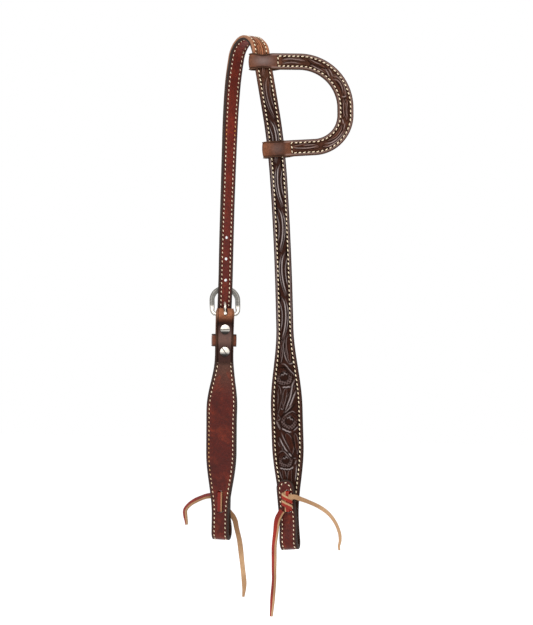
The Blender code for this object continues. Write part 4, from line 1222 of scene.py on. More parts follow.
def scrollUnit(first, pitch, way, depth):  # one long leaf of the strap, bent like a bracket
    def laid(kind, pairs, width, strength):
        spots = np.array([(first + share * pitch, way * across / 1000) for share, across in pairs])
        return kind, spots, width / 1000, strength * depth

    return [
        ("leaf", first, way * 0.0024, first + pitch, way * 0.0027, -way * 0.0034, 0.0056),
        laid("ridge", ((0.05, -1.2), (0.34, -3.8), (0.64, -2.6), (0.97, 1.3)), 0.5, 0.9),
        laid("ridge", ((0.10, 4.2), (0.34, 2.3), (0.57, 2.5), (0.75, 4.0)), 0.45, 0.85),
        laid("cut", ((0.12, -1.4), (0.45, -2.6), (0.75, -1.0), (0.95, 1.8)), 0.45, 0.85),
        laid("cut", ((0.12, 2.2), (0.40, 0.5), (0.60, 1.1), (0.85, 2.6)), 0.45, 0.7),
        laid("cut", ((0.84, -3.6), (1.0, -3.9), (1.12, -2.8)), 1.0, 0.95),
        laid("ridge", ((0.0, 2.4), (0.16, -0.5), (0.45, -1.3), (0.73, 0.2), (0.94, 2.9)), 0.58, 1.0),
    ]


def inMillimetres(at, motifs):  # at gives the length along the strap of a motif's first measure
    found = []
    for kind, *sizes in motifs:
        if kind in ("ridge", "cut"):
            flat, width, strength = sizes
            spots = np.array([(at(z), across / 1000) for z, across in zip(flat[::2], flat[1::2])])
            found.append((kind, spots, width / 1000, strength))
        elif kind == "leaf":
            z0, w0, z1, w1, bow, fat = sizes
            found.append((kind, at(z0), w0 / 1000, at(z1), w1 / 1000, bow / 1000, fat / 1000))
        else:
            z0, w0, size, heading, reach = sizes
            found.append((kind, at(z0), w0 / 1000, size / 1000, heading, reach))
    return found


# Laces first of the pieces: places are across, out and up from the middle of the tie's outer strand
lace = {
    "width": 0.0048,
    "thickness": 0.0016,
    "tailThickness": 0.0023,
    "corner": 0.0006,
    "cornerRadius": 0.0011,
    "wave": 0.04,  # how much an end's width varies, and how fast
    "waves": 17,
    "widthsAt": (0.0, 0.33, 0.85, 1.0),
    "shadesAt": (0.0, 0.6),
    "sideFlesh": 0.9,  # how far the cut sides look like the flesh side
    "strandRim": 0.35,
    "nearShade": 0.75,  # of the near tie, which hangs in the strap's shadow
    "knotTurns": 2.0,
    "turnSteps": 40,
    "knotHalf": 0.0055,
    "knotHeight": 0.0132,
    "knotRim": 0.55,
    "knotSlant": 1.1,  # the front strands slant more than the back ones
    "knotDraw": 0.22,  # how far the wraps draw in at the knot's ends, as a share
    "bite": 0.0002,
    "step": 0.0012,
}
# Each end, from knot to tip: how its grain side turns from facing the camera, in degrees, its widths and
# painted shades at lace's places, how far the tan edge comes over the grain side, and its share of the
# thickness
laceEnds = {
    "offLong": {
        "turns": (6, 20, 34, 42, 42, 42, 42),
        "widths": (1.22, 1.08, 1.0, 0.6),
        "shades": (0.3, 0.1),
        "rim": 0.34,
        "thick": 1.0,
        "route": (
            (-0.0050, 0.0000, -0.0088), (-0.0066, 0.0006, -0.0112), (-0.0098, 0.0018, -0.0180),
            (-0.0115, 0.0024, -0.0300), (-0.0134, 0.0024, -0.0430), (-0.0140, 0.0020, -0.0560),
            (-0.0145, 0.0016, -0.0675), (-0.0148, 0.0014, -0.0770), (-0.0163, 0.0016, -0.0910),
            (-0.0174, 0.0020, -0.1025), (-0.0184, 0.0022, -0.1120),
        ),
    },
    "offShort": {
        "turns": (170, 172, 165, 158, 150, 145, 150),
        "widths": (1.0, 0.80, 0.64, 0.42),
        "shades": (0.5, 0.0),
        "rim": 0.0,
        "thick": 0.75,
        "route": (
            (0.0022, 0.0021, 0.0052), (0.0064, 0.0020, 0.0050), (0.0092, 0.0020, 0.0049),
            (0.0136, 0.0028, 0.0034), (0.0222, 0.0044, 0.0006), (0.0334, 0.0064, -0.0040),
            (0.0428, 0.0076, -0.0104), (0.0494, 0.0080, -0.0190), (0.0531, 0.0078, -0.0288),
            (0.0535, 0.0074, -0.0364), (0.0522, 0.0072, -0.0416), (0.0524, 0.0070, -0.0458),
        ),
    },
    "nearLong": {
        "turns": (196, 190, 184, 182, 180, 182, 186),
        "widths": (1.05, 1.06, 1.0, 0.55),
        "shades": (1.0, 0.0),
        "rim": 0.0,
        "thick": 1.0,
        "route": (
            (0.0060, 0.0000, -0.0104), (0.0072, 0.0006, -0.0124), (0.0098, 0.0018, -0.0158),
            (0.0122, 0.0028, -0.0210), (0.0136, 0.0034, -0.0280), (0.0168, 0.0040, -0.0410),
            (0.0190, 0.0042, -0.0565), (0.0208, 0.0042, -0.0700), (0.0222, 0.0040, -0.0805),
            (0.0226, 0.0038, -0.0885), (0.0219, 0.0036, -0.0975),
        ),
    },
    "nearShort": {
        "turns": (18, 22, 24, 26, 32, 38, 44),
        "widths": (1.22, 1.06, 0.9, 0.55),
        "shades": (0.8, 0.5),
        "rim": 0.6,
        "thick": 1.0,
        "route": (
            (-0.0064, 0.0002, 0.0040), (-0.0084, 0.0008, 0.0043), (-0.0139, 0.0022, 0.0040),
            (-0.0212, 0.0036, 0.0022), (-0.0312, 0.0046, -0.0024), (-0.0377, 0.0048, -0.0070),
            (-0.0416, 0.0046, -0.0122), (-0.0416, 0.0044, -0.0174), (-0.0404, 0.0042, -0.0232),
            (-0.0398, 0.0040, -0.0274),
        ),
    },
}
cameraTurn = math.radians(cameraSpot["azimuth"])
toCamera = np.array([math.sin(cameraTurn), -math.cos(cameraTurn), 0.0])
tieInner = -half - strap["fitGap"] - lace["thickness"] / 2
tieOuter = 3 * half + 2 * strap["fitGap"] + lace["thickness"] * 3 / 2 - lace["bite"]


def laceMesh(line, wide, thickness, comesRound=False, mesh=None, rim=0.0, shade=0.0):
    section = roundSection(8, 6, 3, 1.0)
    s = line.s[:-1] if comesRound else line.s
    wide = np.broadcast_to(wide, line.s.shape)[:len(s)]
    places = layerPlaces(line, s, wide, section, -thickness / 2, thickness / 2, lace["corner"])[0]
    across, kind = section[:, 0], section[:, 4]
    flesh = np.where(kind == 1, 0.0, np.where(kind == 2, 1.0, lace["sideFlesh"]))
    if rim:  # the tan of the cut edge shows along one side only, and comes some way over the face
        flesh = np.where(across > 1 - rim, 1.0, np.where(across < -0.9, 0.0, flesh))
    return wrapGrid(places, {"flesh": flesh, "shade": np.reshape(shade, (-1, 1))}, comesRound, mesh)


def addLace(which, tie, replaced):
    end = laceEnds[which]
    point, across, out, up = tie
    start = point + out * tieOuter
    line = smoothRoute([start + across * a + out * b + up * c for a, b, c in end["route"]], lace["step"])
    travel = unit(np.gradient(line, axis=0))
    share = np.linspace(0.0, 1.0, len(line))
    turn = np.radians(np.interp(share, np.linspace(0, 1, len(end["turns"])), end["turns"]))[:, None]
    facing = unit(toCamera - travel * (travel @ toCamera)[:, None])
    grainWay = facing * np.cos(turn) + np.cross(travel, facing) * np.sin(turn)
    strip = StrapLine(line, np.cross(grainWay, travel), travel)
    wide = lace["width"] / 2 * np.interp(share, lace["widthsAt"], end["widths"])
    wide = wide * (1 + lace["wave"] * np.sin(share * lace["waves"]))
    shade = np.interp(share, lace["shadesAt"], end["shades"])
    mesh = laceMesh(strip, wide, lace["tailThickness"] * end["thick"], rim=end["rim"], shade=shade)
    obj = finished(which + "Lace", mesh, "lace", "straps", [replaced])


addLace("offLong", offTie, "off_lace_long_tail")
addLace("offShort", offTie, "off_lace_short_tail")
addLace("nearLong", nearTie, "near_lace_long_tail")
addLace("nearShort", nearTie, "near_lace_short_tail")


def addKnot(name, tie, replaced, shade):  # the strand round the strap's end, then the wraps round it
    point, across, out, up = tie
    middle = (tieInner + tieOuter) / 2
    box = roundedBox((tieOuter - tieInner) / 2, strap["tiePitch"] / 2, lace["cornerRadius"], 6)
    ring = [point + out * (middle + y) + up * z for y, z in box]
    strand = bandRound(ring, across, point + out * middle, 90)
    wide = lace["width"] / 2
    mesh = laceMesh(strand, wide, lace["thickness"], True, rim=lace["strandRim"], shade=shade)
    reach = lace["knotHalf"] - lace["thickness"] / 2
    deep = lace["thickness"] - lace["bite"]
    count = int(lace["turnSteps"] * lace["knotTurns"]) + 1
    angles = np.linspace(0.0, 2 * math.pi * lace["knotTurns"], count) - math.pi / 2
    drop = np.linspace(lace["knotHeight"] / 2, -lace["knotHeight"] / 2, count)
    drop += lace["knotSlant"] * lace["knotHeight"] / lace["knotTurns"] / (2 * math.pi) * np.cos(angles)
    drawn = reach * (1 - lace["knotDraw"] * np.abs(np.linspace(-1.0, 1.0, count)) ** 3)
    spots = np.stack([-drawn * np.cos(angles), tieOuter + deep * np.sin(angles), drop], 1)
    ways = np.stack([-np.cos(angles) / reach, np.sin(angles) / deep, 0 * angles], 1)
    toFrame = np.stack([across, out, up])
    spots, ways = spots @ toFrame + point, unit(ways) @ toFrame
    travel = unit(np.gradient(spots, axis=0))
    wraps = StrapLine(spots, np.cross(ways, travel), travel)
    laceMesh(wraps, wide, lace["thickness"], mesh=mesh, rim=lace["knotRim"], shade=shade)
    finished(name, mesh, "lace", "straps", [replaced])


addKnot("offKnot", offTie, "off_tie_knot", 0.0)
addKnot("nearKnot", nearTie, "near_tie_knot", lace["nearShade"])
print("laces made")


# Cutters
def frameMatrix(frameOf):
    point, across, out, up = frameOf
    matrix = Matrix.Identity(4)
    for row in range(3):
        for column, axis in enumerate((across, out, up)):
            matrix[row][column] = axis[row]
        matrix[row][3] = point[row]
    return matrix


def addRod(mesh, frameOf, radius, low, high, stretch=0.0):  # a rod through a strap, or a long slot
    verts = bmesh.ops.create_cone(mesh, cap_ends=True, segments=32, radius1=radius, radius2=radius,
                                  depth=high - low)["verts"]
    turn = Matrix.Rotation(math.pi / 2, 4, "X")
    bmesh.ops.transform(mesh, matrix=turn, verts=verts)
    bmesh.ops.translate(mesh, vec=(0.0, (high + low) / 2, 0.0), verts=verts)
    for vert in verts:
        vert.co.x += math.copysign(stretch, vert.co.x)
    bmesh.ops.transform(mesh, matrix=frameMatrix(frameOf), verts=verts)


def pierced(obj, mesh):
    faceOut(mesh)
    cutter = meshObject("cutter", mesh)
    change = obj.modifiers.new("holes", "BOOLEAN")
    change.operation = "DIFFERENCE"
    change.solver = "EXACT"
    change.object = cutter
    made = bpy.data.meshes.new_from_object(obj.evaluated_get(bpy.context.evaluated_depsgraph_get()))
    obj.modifiers.clear()
    old, solid = obj.data, cutter.data
    obj.data = made
    bpy.data.meshes.remove(old)
    bpy.data.objects.remove(cutter)
    bpy.data.meshes.remove(solid)


def drilled(obj, rods):
    mesh = bmesh.new()
    for rod in rods:
        addRod(mesh, *rod)
    pierced(obj, mesh)


def frameLean():  # the buckle leans out until it clears the billet
    lean = 0.0
    reach = frameTop - buckle["limb"]
    for _ in range(8):
        depth = billetLift(reach * math.cos(lean)) + half + buckle["play"] - barOut
        lean = math.asin((depth + buckle["thickness"] / 2) / reach)
    return lean


def tongueLine():  # up on the inner side, out through the billet, to rest behind the top bar
    point, across, out, up = barFrame()
    lean = frameLean()
    reach = frameTop - buckle["limb"] / 2
    behind = buckle["thickness"] / 2 + strap["fitGap"] + buckle["tongueWidth"] / 2
    rest = reach * math.sin(lean) + behind / math.cos(lean)
    first = buckle["barRadius"] + strap["fitGap"] + buckle["eyeWall"] / 2
    heights = np.linspace(first, frameTop * math.cos(lean) + buckle["tongueOverhang"], 60)
    low, high = buckle["tongueCross"]
    depths = rest * ease((heights / frameTop - low) / (high - low))
    depths += np.maximum(0.0, heights - reach * math.cos(lean)) * math.tan(lean)
    points = point + up * heights[:, None] + out * depths[:, None]
    return StrapLine(points, across), heights


def billetHoles():  # three on each side of the one that the tongue goes through
    used = billetTail + frameTop * sum(buckle["tongueCross"]) / 2
    reach = half + strap["overrun"]
    found = []
    for i in (-3, -2, -1, 1, 2, 3):
        point, travel, width, normal = crownLine.at(used + i * strap["holePitch"])
        found.append(((point, width, normal, travel), strap["holeRadius"], -reach, reach))
    return found


def tieSlots(tie):  # through all four layers
    point, across, out, up = tie
    found = []
    for way in (-1, 1):
        spot = (point + up * strap["tiePitch"] * way / 2, across, out, up)
        found.append((spot, strap["slotRadius"], -half - strap["innerOverrun"], 3 * half + strap["overrun"],
                      strap["slotStretch"]))
    return found


# The crown strap: off cheek, crown and billet in one, with its lining
crownShape = {
    "corner": 0.0009,
    "tooledFrom": 0.034,  # before the crown's highest point
    "tooledTo": 0.040,  # above the off fold
    "closeFrom": 0.040,  # before the highest point: rows of vertices lie closer from here
    "cheekFrom": 285,  # and closer still from this far down, in millimetres
    "stepTooled": 0.00075,
    "stepCheek": 0.0005,
    "stepPlain": 0.0013,
    "stepTurned": 0.0009,
    "stepLining": 0.0010,
    "roundTip": 0.010,
    "faceSteps": 50,
    "rowFrom": 0.020,  # the sewing's straight run, from either end
    "rowTo": 0.012,
    "crease": (0.0012, 0.0003, 0.00022, 0.5),  # from the edge, width, depth and painted shade
    "shadedRim": 0.7,  # how much of the rim's painted sheen the right side has
    "sheen": 0.08,
    "upperSheen": 0.34,  # more painted sheen between the ear and the cheek
    "sheenFrom": 0.09,
    "sheenIn": 0.04,
    "sheenTo": 270,
    "sheenOut": 0.06,
    "tanLeast": 0.15,
    "tanRise": (-0.060, 0.045, 0.85),
    "tanFalls": ((0.032, 0.012, 0.80), (0.045, 0.040, 0.20)),
    "scrollsFrom": 256.2,  # the lowest one's start, down in millimetres
    "scrollPitch": 0.0437,
    "scrolls": 9,
    "clearScrolls": 5,  # below the ear, where they aren't worn
    "wornDepth": 0.45,
    "dullFrom": 0.10,  # the lining darkens from this far down, over this much
    "dullOver": 0.16,
    "bareEnd": (0.0012, 0.0022),
}


def offAt(down):  # the length along the crown line of a place on the off leg, down in millimetres
    return apex + float(np.interp(down / 1000, -offLeg.p[:, 2], offLeg.s))


# Tooling of both cheeks, in millimetres down and across: a leaf's two ends, bow and width, a flower's
# middle, size, heading and lip, or a line's points, width and strength
cheekMotifs = (
    ("leaf", 294, 3.6, 322, 4.8, -1.0, 7.0),
    ("leaf", 298, -3.4, 322, -4.8, 0.8, 4.0),
    ("leaf", 343, 9.6, 370, -1.5, -1.6, 4.4),
    ("leaf", 345, 0.6, 368, -2.6, -1.0, 5.0),
    ("leaf", 344, -6.5, 372, -8.8, 0.8, 5.0),
    ("leaf", 371, -9.2, 388, -7.4, 1.0, 3.6),
    ("leaf", 390, -1.0, 413, 4.6, 1.4, 7.4),
    ("leaf", 390, 7.5, 412, 9.6, 1.0, 5.0),
    ("leaf", 394, -8.2, 409, -5.0, 0.6, 3.6),
    ("leaf", 424, -5.0, 450, -3.2, 1.0, 5.0),
    ("leaf", 424, 2.6, 450, 1.6, -0.8, 5.6),
    ("flower", 334.5, -1.5, 9.6, 10, 24),
    ("flower", 378, 2.7, 9.4, -19, 30),
    ("flower", 416.5, -2.0, 8.4, 5, 46),
    ("ridge", (297, -0.1, 304, -1.9, 311, -1.1, 317, 0.4, 322, 3.2), 0.55, 0.6),
    ("ridge", (322, 3.2, 322, 5.7, 320, 8.2), 0.5, 0.9),
    ("ridge", (293, 2.4, 300, 1.2, 308, 1.5, 316, 3.2), 0.45, 0.35),
    ("ridge", (304, -3.7, 311, -2.9, 317, -3.5, 322, -4.3), 0.5, 0.35),
    ("ridge", (322, -3.8, 323, -0.3, 327, 3.1, 331, 6.6, 335, 10.0), 0.55, 0.6),
    ("cut", (325, -6.4, 324, -2.9, 328, 0.6, 332, 4.1, 336, 7.0), 0.75, 1.0),
    ("cut", (346, -6.2, 354, -5.6, 363, -6.9, 372, -9.6), 0.6, 0.9),
    ("cut", (349, 3.2, 356, 2.0, 363, -0.7, 369, -3.4), 0.5, 0.8),
    ("ridge", (337, 9.5, 342, 6.7, 348, 5.5, 355, 4.1, 362, 1.3, 369, -1.1), 0.6, 1.0),
    ("ridge", (349, 9.7, 355, 7.1, 361, 4.7, 366, 2.2), 0.65, 0.95),
    ("ridge", (370, -3.0, 369, -0.4, 366, 2.7, 363, 5.3), 0.45, 0.85),
    ("ridge", (349, 1.2, 354, 0.4, 360, -1.3, 365, -3.8), 0.45, 0.4),
    ("ridge", (348, -2.8, 354, -3.4, 360, -3.3), 0.5, 0.25),
    ("ridge", (343, -8.2, 345, -6.2, 349, -5.1, 352, -5.9), 0.5, 0.35),
    ("ridge", (349, -8.5, 355, -7.8, 362, -8.7), 0.5, 0.25),
    ("ridge", (366, -5.8, 367, -3.4), 0.5, 0.6),
    ("cut", (377, -8.8, 374, -5.2, 371, -1.0, 367, 4.2, 362, 8.3, 358, 11.5), 0.9, 1.0),
    ("ridge", (378, -9.8, 377, -7.3, 375, -5.7), 0.45, 0.5),
    ("ridge", (378, -10.3, 382, -8.6, 386, -7.0), 0.9, 0.5),
    ("ridge", (374, -2.7, 372, 0.0, 370, 3.0, 369, 6.1, 371, 8.8), 0.5, 0.5),
    ("ridge", (388, 6.6, 386, 9.0, 384, 11.0), 0.45, 0.9),
    ("cut", (393, 3.8, 399, 5.6, 406, 7.5, 412, 8.5), 0.6, 0.9),
    ("cut", (392, -2.7, 398, -0.3, 404, 2.5, 411, 5.3), 0.4, 0.6),
    ("ridge", (390, -5.6, 395, -3.8, 401, -0.9, 406, 1.9), 0.5, 0.6),
    ("ridge", (395, -7.5, 400, -5.4, 406, -2.2, 410, 0.8), 0.6, 1.0),
    ("ridge", (399, -9.4, 404, -7.5), 0.5, 0.3),
    ("cut", (408, -3.6, 410, -0.2, 414, 2.6, 415, 6.1, 414, 9.6), 0.85, 1.0),
    ("ridge", (410, 1.1, 413, 3.7), 0.7, 1.0),
    ("ridge", (415, 5.5, 415, 8.1), 0.45, 0.5),
    ("ridge", (410, -9.2, 408, -6.1, 409, -2.7, 413, 0.7, 416, 3.0), 0.5, 0.45),
    ("ridge", (417, 8.5, 421, 7.1), 0.6, 0.55),
    ("ridge", (422, 8.7, 429, 8.2, 437, 7.1), 0.55, 0.75),
    ("ridge", (427, -9.0, 432, -7.3, 437, -5.4), 0.5, 0.4),
    ("cut", (427, 5.0, 433, 5.9, 440, 5.2), 0.5, 0.8),
    ("cut", (430, -1.3, 437, -1.2), 0.45, 0.6),
)


def offMotifs():
    shape = crownShape
    lowest, pitch = offAt(shape["scrollsFrom"]), shape["scrollPitch"]
    motifs = []
    for k in range(shape["scrolls"]):
        depth = 1.0 if k < shape["clearScrolls"] else shape["wornDepth"]
        motifs += scrollUnit(lowest - k * pitch, pitch, -1 if k % 2 == 0 else 1, depth)
    return motifs + inMillimetres(offAt, cheekMotifs)


def crownTan(s):  # lighter over the crown, red-brown below the ear's upper loop
    past = s - apex
    near, far = crownShape["tanFalls"]
    rising = crownShape["tanLeast"] + slope(past, crownShape["tanRise"])
    return np.where(past < 0, rising, 1 - slope(past, near) - slope(past, far))


def crownRows(level):
    inset = sewing["inset"]
    straight = np.arange(crownShape["rowFrom"], crownLine.length - crownShape["rowTo"], sewing["spacing"])
    s = np.concatenate([tipStations(strap["billetTaper"], 24) + inset, straight,
                        crownLine.length - inset - tipStations(strap["turnedTip"], 24)[::-1]])
    return [SewnRow(crownLine, closedPath(s, crownHalf(s, inset)), level)]


def addCrown():
    shape = crownShape
    long = crownLine.length
    rows = crownRows(outerFace)
    motifs = offMotifs()
    holes = billetHoles() + tieSlots(offTie)
    ends = (apex - shape["tooledFrom"], offFold - shape["tooledTo"])

    def relief(s, w):
        wide = crownHalf(s)
        rise, dark, high, panel, _ = tooledFace(s, w, wide, rows, motifs, ends, shape["crease"])
        # a painted sheen along the rim, less on the right side and more between the ear and the cheek
        rim = rimSheenBand(w, wide) * panel * np.where(w < 0, 1.0, shape["shadedRim"])
        above = shape["upperSheen"] * (1 - ease((s - offAt(shape["sheenTo"])) / shape["sheenOut"]))
        sheen = shape["sheen"] + above * ease((s - apex - shape["sheenFrom"]) / shape["sheenIn"])
        return rise, np.clip(dark, 0, 1), np.maximum(high, rim * sheen)

    tip = tipStations(shape["roundTip"], 14)
    end = long - tipStations(strap["turnedTip"], 16)
    close, cheek = apex - shape["closeFrom"], offAt(shape["cheekFrom"])
    turned = long - strap["turnedTip"]
    s = stations(tip, end, stationsAlong((shape["roundTip"], close, shape["stepPlain"]),
                                         (close, cheek, shape["stepTooled"]),
                                         (cheek, offFold, shape["stepCheek"]),
                                         (offFold, turned, shape["stepTurned"])))
    section = roundSection(shape["faceSteps"], 6)
    places, traits, w = layerPlaces(crownLine, s, crownHalf(s), section, seamSide, outerFace,
                                    shape["corner"], relief)
    traits["tan"] = crownTan(s)[:, None]
    obj = finished("crownOuter", wrapGrid(places, traits), "tooled", "straps", ["crown_outer_layer"])
    drilled(obj, holes)

    liningRows = crownRows(liningFace)
    s = stations(tip, end, stationsAlong((shape["roundTip"], turned, shape["stepLining"])))
    places, traits, w = layerPlaces(crownLine, s, crownHalf(s), roundSection(28, 4), -seamSide, liningFace,
                                    shape["corner"], plainRelief(liningRows), edging["liningBand"])
    traits["low"] = np.clip((-places[:, :, 2] - shape["dullFrom"]) / shape["dullOver"], 0, 1)
    bareFrom, bareOver = shape["bareEnd"]
    traits["edge"] = np.maximum(traits["edge"], 1 - ease((long - s - bareFrom) / bareOver)[:, None])
    obj = finished("crownLining", wrapGrid(places, traits), "lining", "straps", ["crown_lining"])
    drilled(obj, holes)
    return rows + liningRows


sewn = addCrown()
print("crown strap made")

# The near cheek, with its turnback over the buckle's bar
nearShape = {
    "corner": 0.0009,
    "step": 0.0008,
    "liningStep": 0.0009,
    "barFrom": 0.002,  # before the bar: rows of vertices lie closer from here
    "barTo": 0.012,  # to here, past it
    "barStep": 0.0004,
    "endReach": 0.001,
    "endStep": 0.0003,
    "rowFrom": 0.014,
    "tooledFrom": 0.040,  # above the near fold
    "tooledTo": 330,  # down in millimetres
    "underKeeper": 0.0006,  # where the lining ends
    "endCorner": (-0.0012, 0.0012, 0.0011),
    # crease: from the edge, width, depth and painted shade
    "crease": (0.0016, 0.00050, 0.00035, 0.85),
    # Past the bar: bands as (middle, spread, strength), and slopes as (start, length, height)
    "creased": (-0.030, 0.004, 1.0),
    "bulge": (0.0048, 0.0036, 0.0025),
    # a painted highlight on the turnback, where it is also rubbed; painted shade at the upper screw and
    # towards its end
    "rubbedAndHighlight": (0.030, 0.008, 0.13),
    "rubbedAndHighlightOn": (0.012, 0.006, 0.05),
    "screwShade": (0.0150, 0.0035, 0.65),
    "endShade": (0.033, 0.010, 0.30),
    "tanBar": (0.004, 0.0055, 0.75),
    "tanBand": (0.031, 0.006, 0.12),
    "tanSides": (-0.054, 0.006, 0.5),
    "tanSideShare": 0.93,
    "eyeSlotAbove": 0.0032,  # the tongue's slot, over the bar
    "eyeSlotStretch": 0.0026,
    "eyeSlotReach": (-0.0080, 0.0055),
    "dullFrom": 0.08,  # the lining darkens from this far down, over this much
    "dullOver": 0.30,
    "wornFrom": 0.014,  # below its end
    "wornOver": 0.042,
}
nearLiningEnd = nearMain.length - (keeper["belowBar"] + keeper["length"] / 2 + nearShape["underKeeper"])


def nearAt(down):  # the length along the near line of a place, down in millimetres
    return nearFold + float(np.interp(-down / 1000, nearUp.p[:, 2], nearUp.s))


def nearRows(level):
    inset = sewing["inset"]
    straight = np.arange(nearShape["rowFrom"], nearLiningEnd - inset, sewing["spacing"])
    s = np.concatenate([tipStations(strap["turnedTip"], 24) + inset, straight])
    w = nearHalf(s, inset)
    return [SewnRow(nearWhole, list(zip(s[::-1], -w[::-1])) + list(zip(s, w)), level)]


def addNearCheek():
    shape = nearShape
    bar, long = nearMain.length, nearWhole.length
    rows = nearRows(outerFace)
    motifs = inMillimetres(nearAt, cheekMotifs)
    ends = (nearFold + shape["tooledFrom"], nearAt(shape["tooledTo"]))

    def relief(s, w):
        past = s - bar
        rise, dark, high, _, crease = tooledFace(s, w, nearHalf(s), rows, motifs, ends, shape["crease"],
                                                 slope(past, shape["creased"]))
        # painted highlight where the turnback is rubbed, painted shade at the upper screw and towards its end
        rubbedAndHighlight = (band(past, shape["rubbedAndHighlight"]) + slope(past, shape["rubbedAndHighlightOn"])) * (1 - crease)
        shade = band(past, shape["screwShade"]) + slope(past, shape["endShade"])
        return rise + band(past, shape["bulge"]), np.clip(dark + shade, 0, 1), np.maximum(high, rubbedAndHighlight)

    tip = tipStations(strap["turnedTip"], 16)
    before, after, end = bar - shape["barFrom"], bar + shape["barTo"], long - shape["endReach"]
    s = stations(tip, stationsAlong((strap["turnedTip"], before, shape["step"]),
                                    (before, after, shape["barStep"]),
                                    (after, end, shape["step"]),
                                    (end, long, shape["endStep"])))
    wide = nearHalf(s) - slope(s - long, shape["endCorner"])
    places, traits, w = layerPlaces(nearWhole, s, wide, roundSection(40, 6), seamSide, outerFace,
                                    shape["corner"], relief)
    past = s - bar
    top = band(past, shape["tanBar"]) + band(past, shape["tanBand"])
    sides = slope(past, shape["tanSides"]) * (past < 0)
    atSide = np.abs(w) > shape["tanSideShare"] * wide[:, None]
    traits["tan"] = np.maximum(top[:, None], sides[:, None] * atSide)
    obj = finished("nearCheekOuter", wrapGrid(places, traits), "tooled", "straps", ["near_cheek_outer_layer"])
    point, across, out, up = barFrame()
    eyeFrame = (point + up * shape["eyeSlotAbove"], up, out, across)
    eyeWide = buckle["eyeWidth"] / 2 + strap["fitGap"]
    eyeSlot = (eyeFrame, eyeWide, *shape["eyeSlotReach"], shape["eyeSlotStretch"])
    drilled(obj, tieSlots(nearTie) + [eyeSlot])

    liningRows = nearRows(liningFace)
    s = stations(tip, stationsAlong((strap["turnedTip"], nearLiningEnd, shape["liningStep"])))
    places, traits, w = layerPlaces(nearMain, s, nearHalf(s), roundSection(36, 4), -seamSide, liningFace,
                                    shape["corner"], plainRelief(liningRows), edging["liningBand"])
    traits["low"] = np.clip((-places[:, :, 2] - shape["dullFrom"]) / shape["dullOver"], 0, 1)
    traits["worn"] = 1 - ease((nearLiningEnd - s - shape["wornFrom"]) / shape["wornOver"])[:, None]
    obj = finished("nearCheekLining", wrapGrid(places, traits), "lining", "straps", ["near_cheek_lining"])
    drilled(obj, tieSlots(nearTie))
    return rows + liningRows


sewn += addNearCheek()
print("near cheek made")


threadStains = (  # golden stretches: top and bottom, the sides in x, and the band down the height
    (-0.06, -0.16, -1.0, -0.010, (-0.089, 0.010, 0.9)),
    (-0.16, -0.30, -0.012, 1.0, (-0.215, 0.034, 0.7)),
    (-0.30, -1.00, -1.0, -0.030, (-0.410, 0.036, 0.8)),
)


def threadStain(place):  # how far the thread took up dye
    x, y, z = place
    for top, bottom, left, right, stain in threadStains:
        if y >= 0 and top >= z > bottom and left < x < right:
            return float(band(z, stain))
    return 0.0


sewStitches("strapThread", "straps", sewn, threadStain)
print("straps sewn")

# The slip ear: a D whose two plain ends wrap the crown strap
ear = {
    "band": 0.0158,
    "fromApex": 0.0370,
    "run": 0.0364,
    "topRadius": 0.0455,
    "side": 0.0070,
    "bottomRadius": 0.0325,
    "bottomDegrees": 86.5,
    "loopGap": 0.0006,
    "loopRelief": 0.00030,  # skived off inside, so the strap's thread runs free
    "sideGap": 0.0032,
    "tailJog": 0.0085,
    "tailLength": 0.010,
    "waist": 0.0128,
    "waistReach": 0.010,
    "rowInset": 0.0029,
    "rowFrom": 0.0150,  # past the middle of the upper loop's front
    "rowTo": 0.0135,  # short of the middle of the lower one's
    "panelIn": 0.001,
    "step": 0.0005,
    "corner": 0.0008,
    # crease: from the edge, width, depth and painted shade
    "crease": (0.0013, 0.00035, 0.00022, 0.5),
    "loopReach": 0.010,  # past the middle of each loop's front, with its ease
    "loopEase": 0.004,
    "loopCrown": 0.0010,  # how far its edges lie below its middle
    # painted shade along the loops' edges and over them, a painted highlight across each loop's middle, and a
    # painted sheen on the rim between the loops
    "loopRim": 0.65,
    "loopRimFrom": 0.74,
    "loopRimOver": 0.2,
    "upperShade": 0.12,
    "lowerShade": (-0.006, 0.008, 0.30),
    "upperShine": (0.0, 0.009, 0.40),
    "lowerShine": (-0.001, 0.006, 0.20),
    "shineWidth": 0.7,
    "rimSheen": 0.35,
    "tan": 0.14,
    "wrappedTan": 0.21,  # more of it where the band turns round the strap
    "upperWrap": (-0.012, 0.006, 1.0),
    "lowerWraps": ((0.012, 0.006, 1.0), (-0.011, 0.004, 0.6)),
    "liningStep": 0.0010,
    "liningLow": 0.15,
    "motifSpan": 180,  # what earMotifs take the way from front to front to be
}


def loopLine(front, tail):  # a loop in section, across and out, from its tail's end to its front
    centre = front - strap["layer"] / 2 - strap["crownWidth"] / 2 - ear["sideGap"]
    jog = strap["crownWidth"] / 2 + ear["sideGap"] / 2
    found = []
    for across in np.arange(jog + ear["tailJog"] + ear["tailLength"], centre, -strap["fineStep"]):
        found.append((across, -front + (tail + front) * float(ease((across - jog) / ear["tailJog"]))))
    steps = fineSteps(math.pi * front)
    for i in range(steps + 1):
        angle = math.pi * i / steps
        found.append((centre - front * math.sin(angle), -front * math.cos(angle)))
    return found


